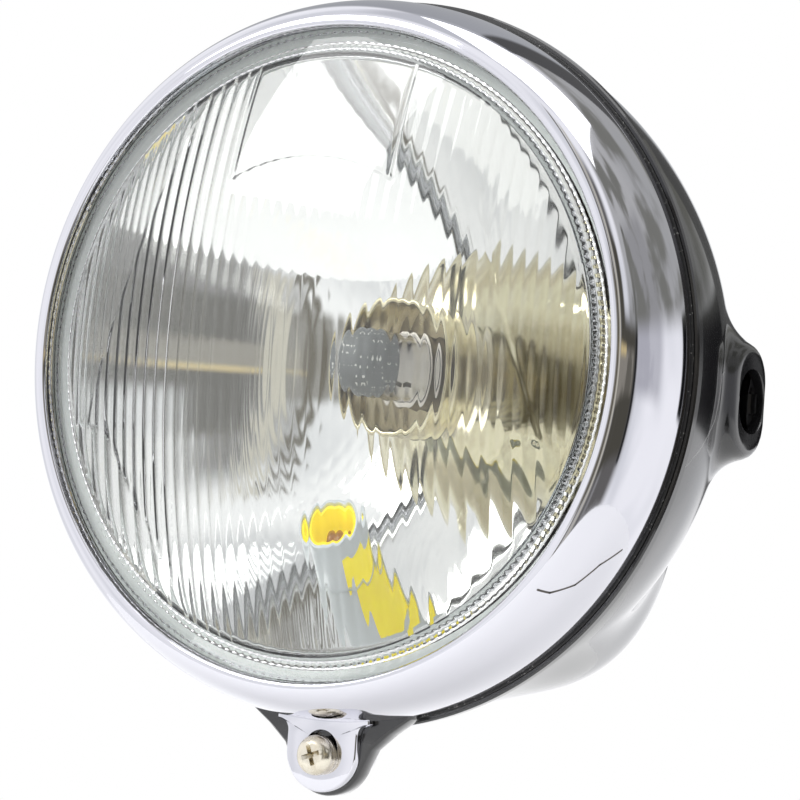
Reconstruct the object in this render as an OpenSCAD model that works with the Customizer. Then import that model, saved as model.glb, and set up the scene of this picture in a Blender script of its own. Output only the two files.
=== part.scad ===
// Round motorcycle headlight: black bowl, chrome rim, domed fluted lens, reflector and bulb.
// The lamp faces -Y, +Z is up, and the origin lies midway between the two side mounting bosses.
// Sections are drawn as [radius, depth]: depth runs rearwards from the rim's widest plane.

/* [Rim] */
// Radius of the chrome rim at its widest
rim_r = 90; // [88:0.5:92]
// How far the rim bulges forward of its widest plane
rim_front = 20.8; // [19.5:0.1:21.5]
// How far the rim reaches behind its widest plane
rim_back = 4.5; // [3.5:0.1:5]
// Thickness of the rim's sheet steel
rim_t = 0.9; // [0.7:0.1:1]
// Inner edge of the rim, where it meets the glass
lip_r = 80.4; // [80:0.1:80.6]

/* [Rim tab] */
// Half width and tip radius of the tab under the rim
tab_r = 10; // [9:0.1:10.5]
// Height of the screw hole's centre below the lamp's axis
tab_hole_z = 96.7; // [96:0.1:97.2]
// Radius of the hole in the tab
tab_hole_r = 4.8; // [4.2:0.1:5]
// Height of the screw's axis below the lamp's axis
screw_z = 98.2; // [97.8:0.1:98.6]

/* [Bowl] */
// Outer radius of the bowl's dome
dome_r = 90; // [89:0.5:90.5]
// Depth of the dome's centre
dome_depth = 7; // [6:0.5:8]
// Wall thickness of the bowl
wall = 2.5; // [2:0.1:2.8]
// Radius of the bowl's front flange
flange_r = 91.4; // [91:0.1:92]
// Depth of the mounting axis behind the rim's widest plane
mount_depth = 41; // [40:0.5:42]
// Height of the lamp's axis above the mounting axis
mount_drop = 4; // [3:0.5:5]
// Distance from the lamp's axis to a side boss's face
boss_face = 89.6; // [89:0.1:91]
// Radius of the recess in a side boss
recess_r = 7.8; // [7.5:0.1:8]
// Depth of the recess in a side boss
recess_depth = 6; // [5:0.5:7]
// Drilled radius of the side thread, for an M8 bolt
thread_r = 3.4; // [3.2:0.05:3.5]

/* [Glass] */
// Radius of the lens's outer dome
glass_r = 180; // [160:5:200]
// Thickness of the glass
glass_t = 4; // [3.5:0.1:4.5]
// Outer radius of the glass
glass_edge_r = 82.4; // [82:0.1:82.8]
// Distance between the upright flutes
flute_pitch = 4.8; // [4.4:0.1:6]
// Height of a flute above the glass's back
flute_h = 0.5; // [0.3:0.1:0.7]

/* [Reflector] */
// Focal length of the reflector
focal = 30; // [28:0.5:31]
// Radius of the reflector's mouth
mouth_r = 74.6; // [74:0.1:75]
// Thickness of the reflector's sheet
sheet_t = 0.9; // [0.7:0.1:1]
// Radius of the bulb's hole
neck_r = 17.4; // [17:0.1:17.8]
// Distance of the position lamp from the reflector's axis
pilot_r = 52; // [50:0.5:54]
// Angle of the position lamp to the left of straight down
pilot_angle = 6.7; // [4:0.1:9]

/* [Hidden] */
$fn = 96;
// Smoothness of the large turned surfaces
turned_fn = 180;
// Overlap that makes a cut run clean through a surface
cut = 1;
// Play between neighbouring pieces that touch
play = 0.1;

// The glass: its front meets the rim's lip, and it ends in a thick edge
lip_depth = 17.8;
glass_c = sqrt(glass_r^2 - lip_r^2) - lip_depth;
glass_back = -10;
glass_clear_r = 73.5;

// The rubber ring behind the glass, and the reflector's flange behind that
seal_t = 1.2;
flange_front = glass_back + seal_t;
vertex = flange_front + mouth_r^2 / (4 * focal);
flange_edge_r = 82.2;
flange_edge_depth = -4;
neck_end = vertex + 2;
function mirror_depth(r) = vertex - r^2 / (4 * focal);
function sheet_depth(r) = mirror_depth(r) + sheet_t * sqrt(1 + (r / (2 * focal))^2);

// The bowl's flange, and the inward lip that the rim's hook catches
flange_t = 2.8;
seal_gap = 0.7;
bowl_front = rim_back + seal_gap;
bowl_lip_r = 83;

// The chin is a rounded barrel lying across the bowl's lower back
chin_r = 50;
chin_half = 56;
chin_corner = 22;
chin_depth = 41;
chin_z = 28.5;
// The cable outlet at the centre of the bowl's back
outlet_pad_r = 16;
outlet_pad_front = 92.4;
outlet_face = 97.6;
outlet_hole_r = 12;

// The threaded steel inserts of the side bosses
insert_r = 6;
insert_inner = 74;
boss_r = 10;
boss_rise = 4.5;
boss_root = 70;

// The screw under the rim, its square nut and the lug that holds it
shank_r = 2.45;
screw_head_r = 5;
screw_head_h = 3.4;
screw_length = 17;
tab_face = -3;
tab_depth = 2.3;
washer_t = 1.3;
washer_r = 4.9;
lug_front = tab_face + tab_depth + play;
lug_back = 13;
lug_half = 24;
nut_half = 4;
nut_front = 8;
nut_t = 3.2;

// The halogen bulb: its flange bears on the holder behind the reflector's neck
holder_flange_r = 24;
holder_t = 1;
holder_front = 18.5;
bulb_seat = neck_end + holder_t + play;
bulb_flange_r = 21.5;
bulb_flange_t = 1.2;
quartz_r = 8.5;
quartz_t = 1;
quartz_back = 30;
quartz_tip = -2;
filament_r = 0.8;
focus_depth = vertex - focal;
block_r = 11;
block_end = bulb_seat + 17;
blade_end = block_end + 9;

// The position lamp stands square on the mirror
pilot_slope = atan(pilot_r / (2 * focal));
sleeve_r = 8;
sleeve_t = 0.8;
sleeve_length = 16.8;
socket_r = 7;
socket_bore = 5.6;

// Turns lamp coordinates, with depth along +Z and down along +Y, into the part's frame
module lamp() {
    translate([0, -mount_depth, mount_drop]) rotate([-90, 0, 0]) children();
}

// Places its children on the mirror at the position lamp, with +Z pointing out of the mirror
module pilot() {
    rotate([0, 0, pilot_angle]) translate([0, pilot_r, mirror_depth(pilot_r)])
        rotate([180 - pilot_slope, 0, 0]) children();
}

// A ring turned about the lamp's axis, from one depth to another
module ring(r_in, r_out, front, back) {
    translate([0, 0, front]) difference() {
        cylinder(r = r_out, h = back - front, $fn = turned_fn);
        translate([0, 0, -cut]) cylinder(r = r_in, h = back - front + 2 * cut, $fn = turned_fn);
    }
}

// A short arc of a turned section, centred on an angle round the lamp's axis
module sector(angle, width) {
    rotate([0, 0, angle - width / 2]) rotate_extrude(angle = width, $fn = turned_fn) children();
}

// Outline of a bent strip of even thickness along the given points
function unit2(v) = v / norm(v);
function leg(p, i) = unit2(p[i + 1] - p[i]);
function corner(p, i) =
    let (last = len(p) - 2, a = leg(p, min(i, last)), b = leg(p, max(i - 1, 0)), m = unit2(a + b))
    [-m[1], m[0]] / (m * a);
function strip(p, t) = concat(
    [for (i = [0:len(p) - 1]) p[i] + corner(p, i) * t / 2],
    [for (i = [len(p) - 1:-1:0]) p[i] - corner(p, i) * t / 2]);

// The rim's section: a turned-in lip, a rounded front and a nearly straight skirt
bead_a = 8.6;
bead_step = 6;
function bead(t) = [for (w = [-90:bead_step:0])
    [rim_r - bead_a + (bead_a - t) * cos(w), (rim_front - t) * sin(w)]];
module rim_section() {
    outer = bead(0);
    inner = bead(rim_t);
    polygon(concat(
        [[lip_r, -lip_depth + 0.3], [lip_r + 0.1, -lip_depth - 1.6], [lip_r + 0.45, -rim_front + 0.3]],
        outer,
        [[rim_r - 0.3, rim_back], [rim_r - 0.3 - rim_t, rim_back]],
        [for (i = [len(inner) - 1:-1:0]) inner[i]],
        [[lip_r + 1, -lip_depth - 1.3], [lip_r + 0.9, -lip_depth + 0.3]]));
}

// Outline of the tab seen from the front, reaching up into the rim
module tab_outline(r) {
    translate([0, tab_hole_z + 0.6]) circle(r = r);
    translate([-r, rim_r - 4]) square([2 * r, tab_hole_z + 4.6 - rim_r]);
}

// The tab is a shallow pressing, open at the back, with flared corners under the rim
module tab() {
    difference() {
        translate([0, 0, tab_face]) linear_extrude(tab_depth) union() {
            tab_outline(tab_r);
            translate([-tab_r - 3, rim_r - 3]) square([2 * tab_r + 6, 4.6]);
        }
        translate([0, 0, tab_face + rim_t]) linear_extrude(20) tab_outline(tab_r - rim_t);
        for (s = [-1, 1])
            translate([s * (tab_r + 3.2), rim_r + 2.8, tab_face - cut]) cylinder(r = 3.2, h = 20, $fn = 48);
        translate([0, tab_hole_z, tab_face - cut]) cylinder(r = tab_hole_r, h = rim_t + 2 * cut);
        // The drain slot at the root of the tab
        translate([-3.5, rim_r - 1, tab_face - cut]) cube([7, 1.9, rim_t + 2 * cut]);
        // Nothing of the tab stands inside the rim's own wall
        translate([0, 0, tab_face - cut]) cylinder(r = rim_r - rim_t / 2 - 0.2, h = 20, $fn = turned_fn);
    }
}

module rim() {
    color("silver") lamp() union() {
        rotate_extrude($fn = turned_fn) rim_section();
        tab();
    }
}

// Sheet hook welded inside the top of the rim, which catches behind the bowl's lip
module rim_hook() {
    color("silver") lamp() sector(-90, 14)
        polygon(strip([[88.3, -4], [88.3, 1.6], [81.8, 3.4], [81.8, 9.4], [84.6, 9.4]], 1));
}

module rim_seal() {
    color("dimgray") lamp() ring(bowl_lip_r + 2.2, rim_r + 0.2, rim_back + play / 2, bowl_front);
}

module rim_screw() {
    ball_r = (screw_head_r^2 + screw_head_h^2) / (2 * screw_head_h);
    color("wheat") lamp() translate([0, screw_z, tab_face - washer_t - play]) difference() {
        union() {
            cylinder(r = shank_r, h = screw_length);
            intersection() {
                translate([0, 0, ball_r - screw_head_h]) sphere(r = ball_r);
                translate([0, 0, -screw_head_h]) cylinder(r = screw_head_r - 0.1, h = screw_head_h);
            }
        }
        // Cross recess
        for (a = [20, 110]) rotate([0, 0, a]) translate([-2.5, -0.6, -screw_head_h - cut])
            cube([5, 1.2, cut + 1.7]);
    }
}

// Split spring washer under the screw's head
module screw_washer() {
    color("khaki") lamp() translate([0, screw_z, tab_face - washer_t - play / 2]) difference() {
        cylinder(r = washer_r, h = washer_t);
        translate([0, 0, -cut]) cylinder(r = shank_r + 0.2, h = washer_t + 2 * cut);
        rotate([0, 0, 20]) translate([0, -0.3, -cut]) cube([6, 0.6, washer_t + 2 * cut]);
    }
}

module rim_nut() {
    color("silver") lamp() translate([0, screw_z, nut_front]) difference() {
        translate([-nut_half, -nut_half, 0]) cube([2 * nut_half, 2 * nut_half, nut_t]);
        translate([0, 0, -cut]) cylinder(r = shank_r + 0.05, h = nut_t + 2 * cut);
    }
}

// A barrel lying across the lamp, with rounded ends
module barrel(r, half, corner_r) {
    translate([0, chin_z, chin_depth]) rotate([0, 90, 0]) rotate_extrude($fn = turned_fn)
        intersection() {
            union() {
                translate([0, corner_r - half]) square([r, 2 * (half - corner_r)]);
                translate([0, -half]) square([r - corner_r, 2 * half]);
                for (s = [-1, 1]) translate([r - corner_r, s * (half - corner_r)]) circle(r = corner_r);
            }
            translate([0, -half]) square([r, 2 * half]);
        }
}

// A round-cornered slab standing off the side of the dome
module pad(x, r, rise, t) {
    for (z = [-rise, rise]) translate([x, z + mount_drop, mount_depth - 0.5])
        rotate([0, 90, 0]) cylinder(r = r, h = t, center = true, $fn = 32);
}

// A side boss: a tall pad with a rounded edge, spreading as it runs into the dome
module boss(s) {
    hull() {
        pad(s * (boss_face - 0.2), boss_r - 2.2, boss_rise, 0.4);
        pad(s * (boss_face - 1.2), boss_r - 0.6, boss_rise, 0.2);
        pad(s * (boss_face - 3), boss_r, boss_rise, 0.4);
    }
    hull() {
        pad(s * (boss_face - 3), boss_r, boss_rise, 0.4);
        pad(s * boss_root, boss_r + 8, boss_rise + 4, 0.4);
    }
}

// The webs under the bowl that back the rim's tab, and the block behind them for the nut
module screw_lug() {
    difference() {
        union() {
            hull() {
                translate([0, tab_hole_z + 0.9, lug_front]) cylinder(r = tab_r + 0.6, h = 5, $fn = 32);
                translate([-lug_half, 84, lug_front]) cube([2 * lug_half, 2, 10]);
            }
            hull() {
                translate([0, tab_hole_z + 0.9, lug_front]) cylinder(r = 8, h = lug_back - lug_front, $fn = 32);
                translate([-12, 80, lug_front]) cube([24, 2, lug_back + 6]);
            }
        }
        translate([0, 0, -50]) cylinder(r = rim_r + 0.4, h = 50 + bowl_front, $fn = turned_fn);
    }
}

// Everything in front of the bowl's flange
module ahead(depth) {
    translate([-150, -150, -150]) cube([300, 300, 150 + depth]);
}

module bowl_outside() {
    difference() {
        union() {
            translate([0, 0, dome_depth]) sphere(r = dome_r, $fn = turned_fn);
            barrel(chin_r, chin_half, chin_corner);
        }
        ahead(bowl_front);
    }
    translate([0, 0, bowl_front]) cylinder(r = flange_r, h = flange_t, $fn = turned_fn);
    translate([0, 0, outlet_pad_front]) cylinder(r = outlet_pad_r, h = outlet_face - outlet_pad_front);
    for (s = [-1, 1]) boss(s);
    screw_lug();
}

// The hollow leaves an even wall, the blocks round the inserts and the pad at the cable outlet
module bowl_hollow() {
    difference() {
        union() {
            translate([0, 0, dome_depth]) sphere(r = dome_r - wall, $fn = turned_fn);
            barrel(chin_r - wall, chin_half - wall, chin_corner - wall);
        }
        ahead(bowl_front + wall);
        for (s = [-1, 1])
            translate([s * (insert_inner + 30), mount_drop, mount_depth]) cube([60, 20, 20], center = true);
        translate([0, 0, outlet_pad_front]) cylinder(r = outlet_pad_r, h = 20);
    }
}

module bowl() {
    color([0.05, 0.05, 0.055]) lamp() difference() {
        bowl_outside();
        bowl_hollow();
        translate([0, 0, bowl_front - cut]) cylinder(r = bowl_lip_r, h = wall + 2 * cut, $fn = turned_fn);
        for (s = [-1, 1]) translate([0, mount_drop, mount_depth]) rotate([0, 90 * s, 0]) {
            translate([0, 0, boss_face - recess_depth]) cylinder(r = recess_r, h = 20);
            translate([0, 0, insert_inner - 10]) cylinder(r = insert_r, h = 30);
        }
        translate([0, 0, outlet_pad_front - 10]) cylinder(r = outlet_hole_r, h = 20);
        // Screw passage, and the nut's pocket, open at the back
        translate([0, screw_z, -cut]) cylinder(r = shank_r + 0.35, h = 40);
        translate([-nut_half - play, screw_z - nut_half - play, nut_front - play])
            cube([2 * (nut_half + play), 2 * (nut_half + play), 30]);
    }
}

// Threaded steel insert moulded into a side boss
module side_insert(s) {
    length = boss_face - recess_depth - insert_inner - play;
    color("silver") lamp() translate([0, mount_drop, mount_depth]) rotate([0, 90 * s, 0])
        translate([0, 0, insert_inner]) difference() {
            cylinder(r = insert_r - play / 2, h = length);
            translate([0, 0, -cut]) cylinder(r = thread_r, h = length + 2 * cut);
        }
}

module side_insert_right() {
    side_insert(1);
}

module side_insert_left() {
    side_insert(-1);
}

// Rubber grommet in the cable outlet, grooved to grip the bowl's pad
module wire_grommet() {
    lip = 2.4;
    front = outlet_pad_front - lip;
    back = outlet_face + lip;
    color([0.08, 0.08, 0.08]) lamp() rotate_extrude() polygon([
        [7, front], [outlet_hole_r + 2, front], [outlet_hole_r + 2, outlet_pad_front - play],
        [outlet_hole_r - play, outlet_pad_front - play], [outlet_hole_r - play, outlet_face + play],
        [outlet_hole_r + 2.4, outlet_face + play], [outlet_hole_r + 1, back], [7, back]]);
}

// One upright flute on the back of the glass, square to its dome
module flute(x, inner_r) {
    ring_r = sqrt(inner_r^2 - x^2);
    half_angle = asin(sqrt((glass_clear_r - 1)^2 - x^2) / ring_r);
    half_w = flute_pitch * 0.44;
    tube_r = (half_w^2 + flute_h^2) / (2 * flute_h);
    translate([x, 0, glass_c]) rotate([0, 90, 0]) rotate([0, 0, -half_angle])
        rotate_extrude(angle = 2 * half_angle, $fn = turned_fn) translate([ring_r, 0])
            rotate([0, 0, asin(x / inner_r)]) intersection() {
                translate([tube_r - flute_h, 0]) circle(r = tube_r);
                translate([-cut, -half_w]) square([cut + 1.2, 2 * half_w]);
            }
}

module lens() {
    inner_r = glass_r - glass_t;
    flutes = floor((glass_clear_r - 5) / flute_pitch);
    color([0.85, 0.9, 0.9, 0.5]) lamp() union() {
        difference() {
            intersection() {
                translate([0, 0, glass_c]) sphere(r = glass_r, $fn = turned_fn);
                translate([0, 0, -60]) cylinder(r = glass_edge_r, h = 60 + glass_back, $fn = turned_fn);
            }
            intersection() {
                translate([0, 0, glass_c]) sphere(r = inner_r, $fn = turned_fn);
                translate([0, 0, -60]) cylinder(r = glass_clear_r, h = 80, $fn = turned_fn);
            }
            // The edge is stepped down where the rim's lip covers it
            ring(lip_r - 0.2, glass_edge_r + 5, -60, -lip_depth + 0.5);
        }
        for (i = [-flutes:flutes]) flute(i * flute_pitch, inner_r);
    }
}

module lens_seal() {
    color([0.1, 0.1, 0.1]) lamp()
        ring(mouth_r + 0.2, glass_edge_r, glass_back + play / 2, flange_front - play / 2);
}

// Pressed reflector: a paraboloid with a bulb neck and a stiffened flange
module reflector() {
    radii = [for (i = [0:24]) neck_r + (mouth_r - neck_r) * i / 24];
    backs = [for (i = [24:-1:0]) neck_r + sheet_t + (mouth_r - 0.6 - neck_r - sheet_t) * i / 24];
    color("gainsboro") lamp() difference() {
        rotate_extrude($fn = turned_fn) polygon(concat(
            [[neck_r, neck_end]],
            [for (r = radii) [r, mirror_depth(r)]],
            [[flange_edge_r, flange_front], [flange_edge_r, flange_edge_depth],
             [flange_edge_r - sheet_t, flange_edge_depth],
             [flange_edge_r - sheet_t, flange_front + sheet_t],
             [mouth_r + 0.5, flange_front + sheet_t]],
            [for (r = backs) [r, sheet_depth(r)]],
            [[neck_r + sheet_t, neck_end]]));
        pilot() translate([0, 0, -12]) cylinder(r = sleeve_r + play / 2, h = 24);
    }
}

// Spring clip that holds the glass and the reflector in the rim
module unit_clip(angle) {
    color("lightsteelblue") lamp() sector(angle, 16)
        polygon(strip([[88.2, 2.4], [88.2, -1.6], [85, -3.4], [79.4, -3.4]], 0.8));
}

module unit_clip_1() {
    unit_clip(40);
}

module unit_clip_2() {
    unit_clip(140);
}

module unit_clip_3() {
    unit_clip(220);
}

module unit_clip_4() {
    unit_clip(320);
}

// Yellow-passivated ring that lines the reflector's neck and carries the bulb
module bulb_holder() {
    tube_r = neck_r - play;
    color("gold") lamp() rotate_extrude() polygon([
        [tube_r - holder_t, holder_front], [tube_r, holder_front], [tube_r, neck_end + play / 2],
        [holder_flange_r, neck_end + play / 2], [holder_flange_r, neck_end + holder_t],
        [tube_r - holder_t, neck_end + holder_t]]);
}

// The bulb's metal base: a three-tabbed flange, a collar round the glass and a rear block
module bulb_base() {
    color("silver") lamp() difference() {
        union() {
            translate([0, 0, bulb_seat]) {
                cylinder(r = bulb_flange_r - 2.5, h = bulb_flange_t);
                for (a = [30, 150, 270]) rotate([0, 0, a]) translate([0, -3.5, 0])
                    cube([bulb_flange_r, 7, bulb_flange_t]);
            }
            translate([0, 0, quartz_back - 4]) cylinder(r = quartz_r + 1.2, h = bulb_seat - quartz_back + 5);
            translate([0, 0, bulb_seat]) cylinder(r = block_r, h = block_end - bulb_seat);
        }
        translate([0, 0, quartz_back - 5]) cylinder(r = quartz_r + play / 2, h = 5 + play);
    }
}

// The clear quartz envelope, hollow, with a domed front
module bulb_glass() {
    color([0.9, 0.95, 1, 0.4]) lamp() difference() {
        union() {
            translate([0, 0, quartz_tip + quartz_r]) sphere(r = quartz_r);
            translate([0, 0, quartz_tip + quartz_r])
                cylinder(r = quartz_r, h = quartz_back - quartz_tip - quartz_r);
        }
        translate([0, 0, quartz_tip + quartz_r]) sphere(r = quartz_r - quartz_t);
        translate([0, 0, quartz_tip + quartz_r])
            cylinder(r = quartz_r - quartz_t, h = quartz_back - quartz_tip - quartz_r - 4);
    }
}

// Sheet trough under the dipped-beam filament, with its stalk
module bulb_shield() {
    trough_r = 4.6;
    trough_front = focus_depth - 6;
    color("gray") lamp() difference() {
        union() {
            translate([0, 0, trough_front]) cylinder(r = trough_r, h = 11);
            translate([-1, 3.4, trough_front + 8]) cube([2, 1.1, quartz_back - trough_front - 12.4]);
        }
        translate([0, 0, trough_front + 0.6]) cylinder(r = trough_r - 0.5, h = 12);
        translate([-6, -12.6, trough_front - 0.6]) cube([12, 12, 13]);
    }
}

// Two coiled filaments: dipped beam over the shield and main beam behind it
module bulb_filaments() {
    color("dimgray") lamp() {
        translate([0, 0.6, focus_depth - 2.5]) cylinder(r = filament_r, h = 5.5);
        translate([0, 0.6, focus_depth + 7]) cylinder(r = filament_r, h = 4.5);
    }
}

module bulb_terminals() {
    color("goldenrod") lamp() {
        for (s = [-1, 1]) translate([s * 7 - 0.4, -4, block_end]) cube([0.8, 8, blade_end - block_end]);
        translate([-4, -7.4, block_end]) cube([8, 0.8, blade_end - block_end]);
    }
}

// Wire spring that presses the bulb's flange onto its holder
module bulb_clip() {
    wire = 0.7;
    reach = bulb_flange_r - 3.5;
    color("lightsteelblue") lamp() translate([0, 0, bulb_seat + bulb_flange_t + wire + play]) {
        for (s = [-1, 1]) translate([s * (block_r + 2.5), -reach, 0]) rotate([-90, 0, 0])
            cylinder(r = wire, h = 2 * reach);
        translate([-block_r - 2.5, -reach, 0]) rotate([0, 90, 0])
            cylinder(r = wire, h = 2 * (block_r + 2.5));
        for (s = [-1, 1]) translate([s * (block_r + 2.5), -reach, 0]) sphere(r = wire);
    }
}

// Rubber boot over the bulb's back, gripping the holder's flange
module dust_boot() {
    grip = holder_flange_r + play;
    back = block_end - 2;
    color([0.09, 0.09, 0.09]) lamp() rotate_extrude() polygon([
        [grip, neck_end - 1], [grip + 2.5, neck_end - 1.5], [grip + 2.8, neck_end + 4],
        [20, back - 6], [15.5, back], [block_r + play, back], [block_r + play, back - 2],
        [14.6, back - 2], [18, back - 8], [grip, neck_end + 3.4]]);
}

// Three-way plug on the bulb's blades
module bulb_connector() {
    color([0.12, 0.12, 0.12]) lamp() difference() {
        translate([-11, -10, block_end + play]) cube([22, 17, 15]);
        for (s = [-1, 1]) translate([s * 7 - 0.5, -4.1, block_end - cut]) cube([1, 8.2, 10.4]);
        translate([-4.1, -7.5, block_end - cut]) cube([8.2, 1, 10.4]);
        // Ways for the cables, open at the back
        for (s = [-1, 1]) translate([s * 7, 0, block_end + 10]) cylinder(r = 1.8, h = 10, $fn = 32);
        translate([0, -7, block_end + 10]) cylinder(r = 1.8, h = 10, $fn = 32);
    }
}

// Bright sleeve of the position lamp, standing square on the mirror
module position_sleeve() {
    color("lightgray") lamp() pilot() difference() {
        union() {
            translate([0, 0, -7]) cylinder(r = sleeve_r, h = sleeve_length + 7);
            translate([0, 0, -8]) cylinder(r = sleeve_r + 3, h = 1);
        }
        translate([0, 0, -9]) cylinder(r = sleeve_r - sleeve_t, h = sleeve_length + 10);
    }
}

// Yellow plastic socket inside the sleeve, open to the front
module position_socket() {
    color("gold") lamp() pilot() difference() {
        union() {
            translate([0, 0, -10]) cylinder(r = socket_r, h = sleeve_length + 9.4);
            translate([0, 0, -14]) cylinder(r = sleeve_r + 1.5, h = 5.6);
        }
        translate([0, 0, 4]) cylinder(r = socket_bore, h = sleeve_length);
        translate([0, 0, -6]) cylinder(r = 2.9, h = 12);
    }
}

// Small capless bulb pushed into the socket
module position_bulb() {
    bulb_r = 4.6;
    color([0.9, 0.9, 0.85, 0.6]) lamp() pilot() {
        translate([0, 0, 10.5]) sphere(r = bulb_r);
        translate([0, 0, 4 + play]) cylinder(r = 4.2, h = 6.5);
        translate([0, 0, -5.5]) cylinder(r = 2.7, h = 11);
    }
}

module position_contacts() {
    color("goldenrod") lamp() pilot()
        for (s = [-1, 1]) translate([s * 3.6 - 0.4, -2, -21]) cube([0.8, 4, 7]);
}

bowl();
side_insert_right();
side_insert_left();
wire_grommet();
rim();
rim_hook();
rim_seal();
rim_screw();
screw_washer();
rim_nut();
lens();
lens_seal();
reflector();
unit_clip_1();
unit_clip_2();
unit_clip_3();
unit_clip_4();
bulb_holder();
bulb_base();
bulb_glass();
bulb_shield();
bulb_filaments();
bulb_terminals();
bulb_clip();
dust_boot();
bulb_connector();
position_sleeve();
position_socket();
position_bulb();
position_contacts();
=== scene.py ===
"""Round motorcycle headlight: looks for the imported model.

Shapes are worked out in lamp coordinates, in millimetres: x to the right, depth rearwards from the
rim's widest plane, and z up from the lamp's axis. `LampSpace` turns them into the frame's metres.
"""

import logging
import math
from dataclasses import dataclass, field
from enum import Enum
from typing import ClassVar

import bmesh
import bpy
import numpy as np
from mathutils import Matrix, Vector


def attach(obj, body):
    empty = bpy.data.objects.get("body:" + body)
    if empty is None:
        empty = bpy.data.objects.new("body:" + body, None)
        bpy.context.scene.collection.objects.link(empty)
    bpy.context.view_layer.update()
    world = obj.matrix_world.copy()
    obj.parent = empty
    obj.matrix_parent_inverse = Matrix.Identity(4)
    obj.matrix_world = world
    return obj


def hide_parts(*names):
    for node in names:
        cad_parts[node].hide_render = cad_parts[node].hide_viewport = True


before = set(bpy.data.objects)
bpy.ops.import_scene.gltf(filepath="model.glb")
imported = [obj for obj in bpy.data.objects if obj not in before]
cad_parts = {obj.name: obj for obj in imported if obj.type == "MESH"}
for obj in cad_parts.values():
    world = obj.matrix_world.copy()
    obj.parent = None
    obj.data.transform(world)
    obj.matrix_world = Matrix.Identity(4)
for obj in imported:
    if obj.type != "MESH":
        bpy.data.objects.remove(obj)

LOG = logging.getLogger("headlight")
MM = 0.001
POLE_R = 0.01
CUT_POLE_R = 0.001
NODES: dict[str, bpy.types.Object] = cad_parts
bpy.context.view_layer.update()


class Side(Enum):
    """The two sides of the lamp, as seen by its rider's own right and left."""

    RIGHT = 1
    LEFT = -1


@dataclass(frozen=True)
class LampSpace:
    """Where the lamp's own axis lies in the frame."""

    mount_depth: float = 41.0
    mount_drop: float = 4.0

    def to_frame(self, points: np.ndarray) -> np.ndarray:
        """Turns lamp points into frame points.

        Args:
            points: array (n, 3) of x, depth and z in millimetres.

        Returns:
            Array (n, 3) in metres.
        """
        shift = np.array([0.0, -self.mount_depth, self.mount_drop])
        return (points + shift) * MM

    def centre(self) -> Vector:
        """The lamp's axis at the rim's widest plane, in metres."""
        return Vector(self.to_frame(np.zeros((1, 3)))[0])


SPACE = LampSpace()


def smooth_step(low: float, high: float, value: np.ndarray) -> np.ndarray:
    """Rises from 0 at low to 1 at high with level ends: t squared times (3 - 2 t)."""
    t = np.clip((value - low) / (high - low), 0.0, 1.0)
    return t * t * (3.0 - 2.0 * t)


def bunched(count: int, low: float, high: float, spots: list[float], width: float, gain: float) -> np.ndarray:
    """Spaced numbers from low to high, closer together round the spots.

    The density is 1 plus the sum of gain * exp(-((t - spot) / width) ** 2), and the numbers cut its
    running total into equal steps.

    Args:
        count: how many numbers.
        low: the first number.
        high: the last number.
        spots: where the numbers lie closer together.
        width: half width of each close stretch.
        gain: extra density at a spot.

    Returns:
        Array (count,).
    """
    samples = 4000
    t = np.linspace(low, high, samples)
    dense = 1.0 + sum(gain * np.exp(-(((t - spot) / width) ** 2)) for spot in spots)
    total = np.concatenate([[0.0], np.cumsum((dense[1:] + dense[:-1]) / 2)])
    return np.interp(np.linspace(0.0, total[-1], count), total, t)


def smooth_min(a: np.ndarray, b: np.ndarray, blend: float) -> np.ndarray:
    """The lower of two fields, with a fillet: min(a, b) less h squared times blend / 4."""
    h = np.clip(1.0 - np.abs(a - b) / blend, 0.0, 1.0)
    return np.minimum(a, b) - h * h * blend * 0.25


def grid_quads(rows: int, cols: int, wrap_rows: bool = False, wrap_cols: bool = False) -> np.ndarray:
    """Corner numbers of the quads of a grid whose points are stored row by row.

    Args:
        rows: number of rows of points.
        cols: number of points in a row.
        wrap_rows: joins the last row to the first.
        wrap_cols: joins the last column to the first.

    Returns:
        Array (n, 4) of point numbers.
    """
    i = np.arange(rows if wrap_rows else rows - 1)[:, None]
    j = np.arange(cols if wrap_cols else cols - 1)[None, :]
    i2, j2 = (i + 1) % rows, (j + 1) % cols
    corners = [i * cols + j, i * cols + j2, i2 * cols + j2, i2 * cols + j]
    return np.stack([c + 0 * i + 0 * j for c in corners], axis=-1).reshape(-1, 4)


def rounded(profile: list[tuple[float, float]], radius: float, steps: int = 4) -> np.ndarray:
    """Rounds the corners of a closed outline.

    Each corner becomes a quadratic curve between points that lie a radius along its two sides, or
    at most 45% of a side.

    Args:
        profile: corners of the closed outline.
        radius: how far from its corner each curve starts.
        steps: segments in each curve.

    Returns:
        Array (n, 2) of points.
    """
    p = np.array(profile, float)
    before, after = np.roll(p, 1, axis=0) - p, np.roll(p, -1, axis=0) - p
    length_b, length_a = np.linalg.norm(before, axis=1), np.linalg.norm(after, axis=1)
    reach_b = np.minimum(radius, 0.45 * length_b)[:, None] * before / length_b[:, None]
    reach_a = np.minimum(radius, 0.45 * length_a)[:, None] * after / length_a[:, None]
    t = np.linspace(0.0, 1.0, steps + 1)[None, :, None]
    start, end, corner = (p + reach_b)[:, None], (p + reach_a)[:, None], p[:, None]
    return ((1 - t) ** 2 * start + 2 * t * (1 - t) * corner + t**2 * end).reshape(-1, 2)


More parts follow.
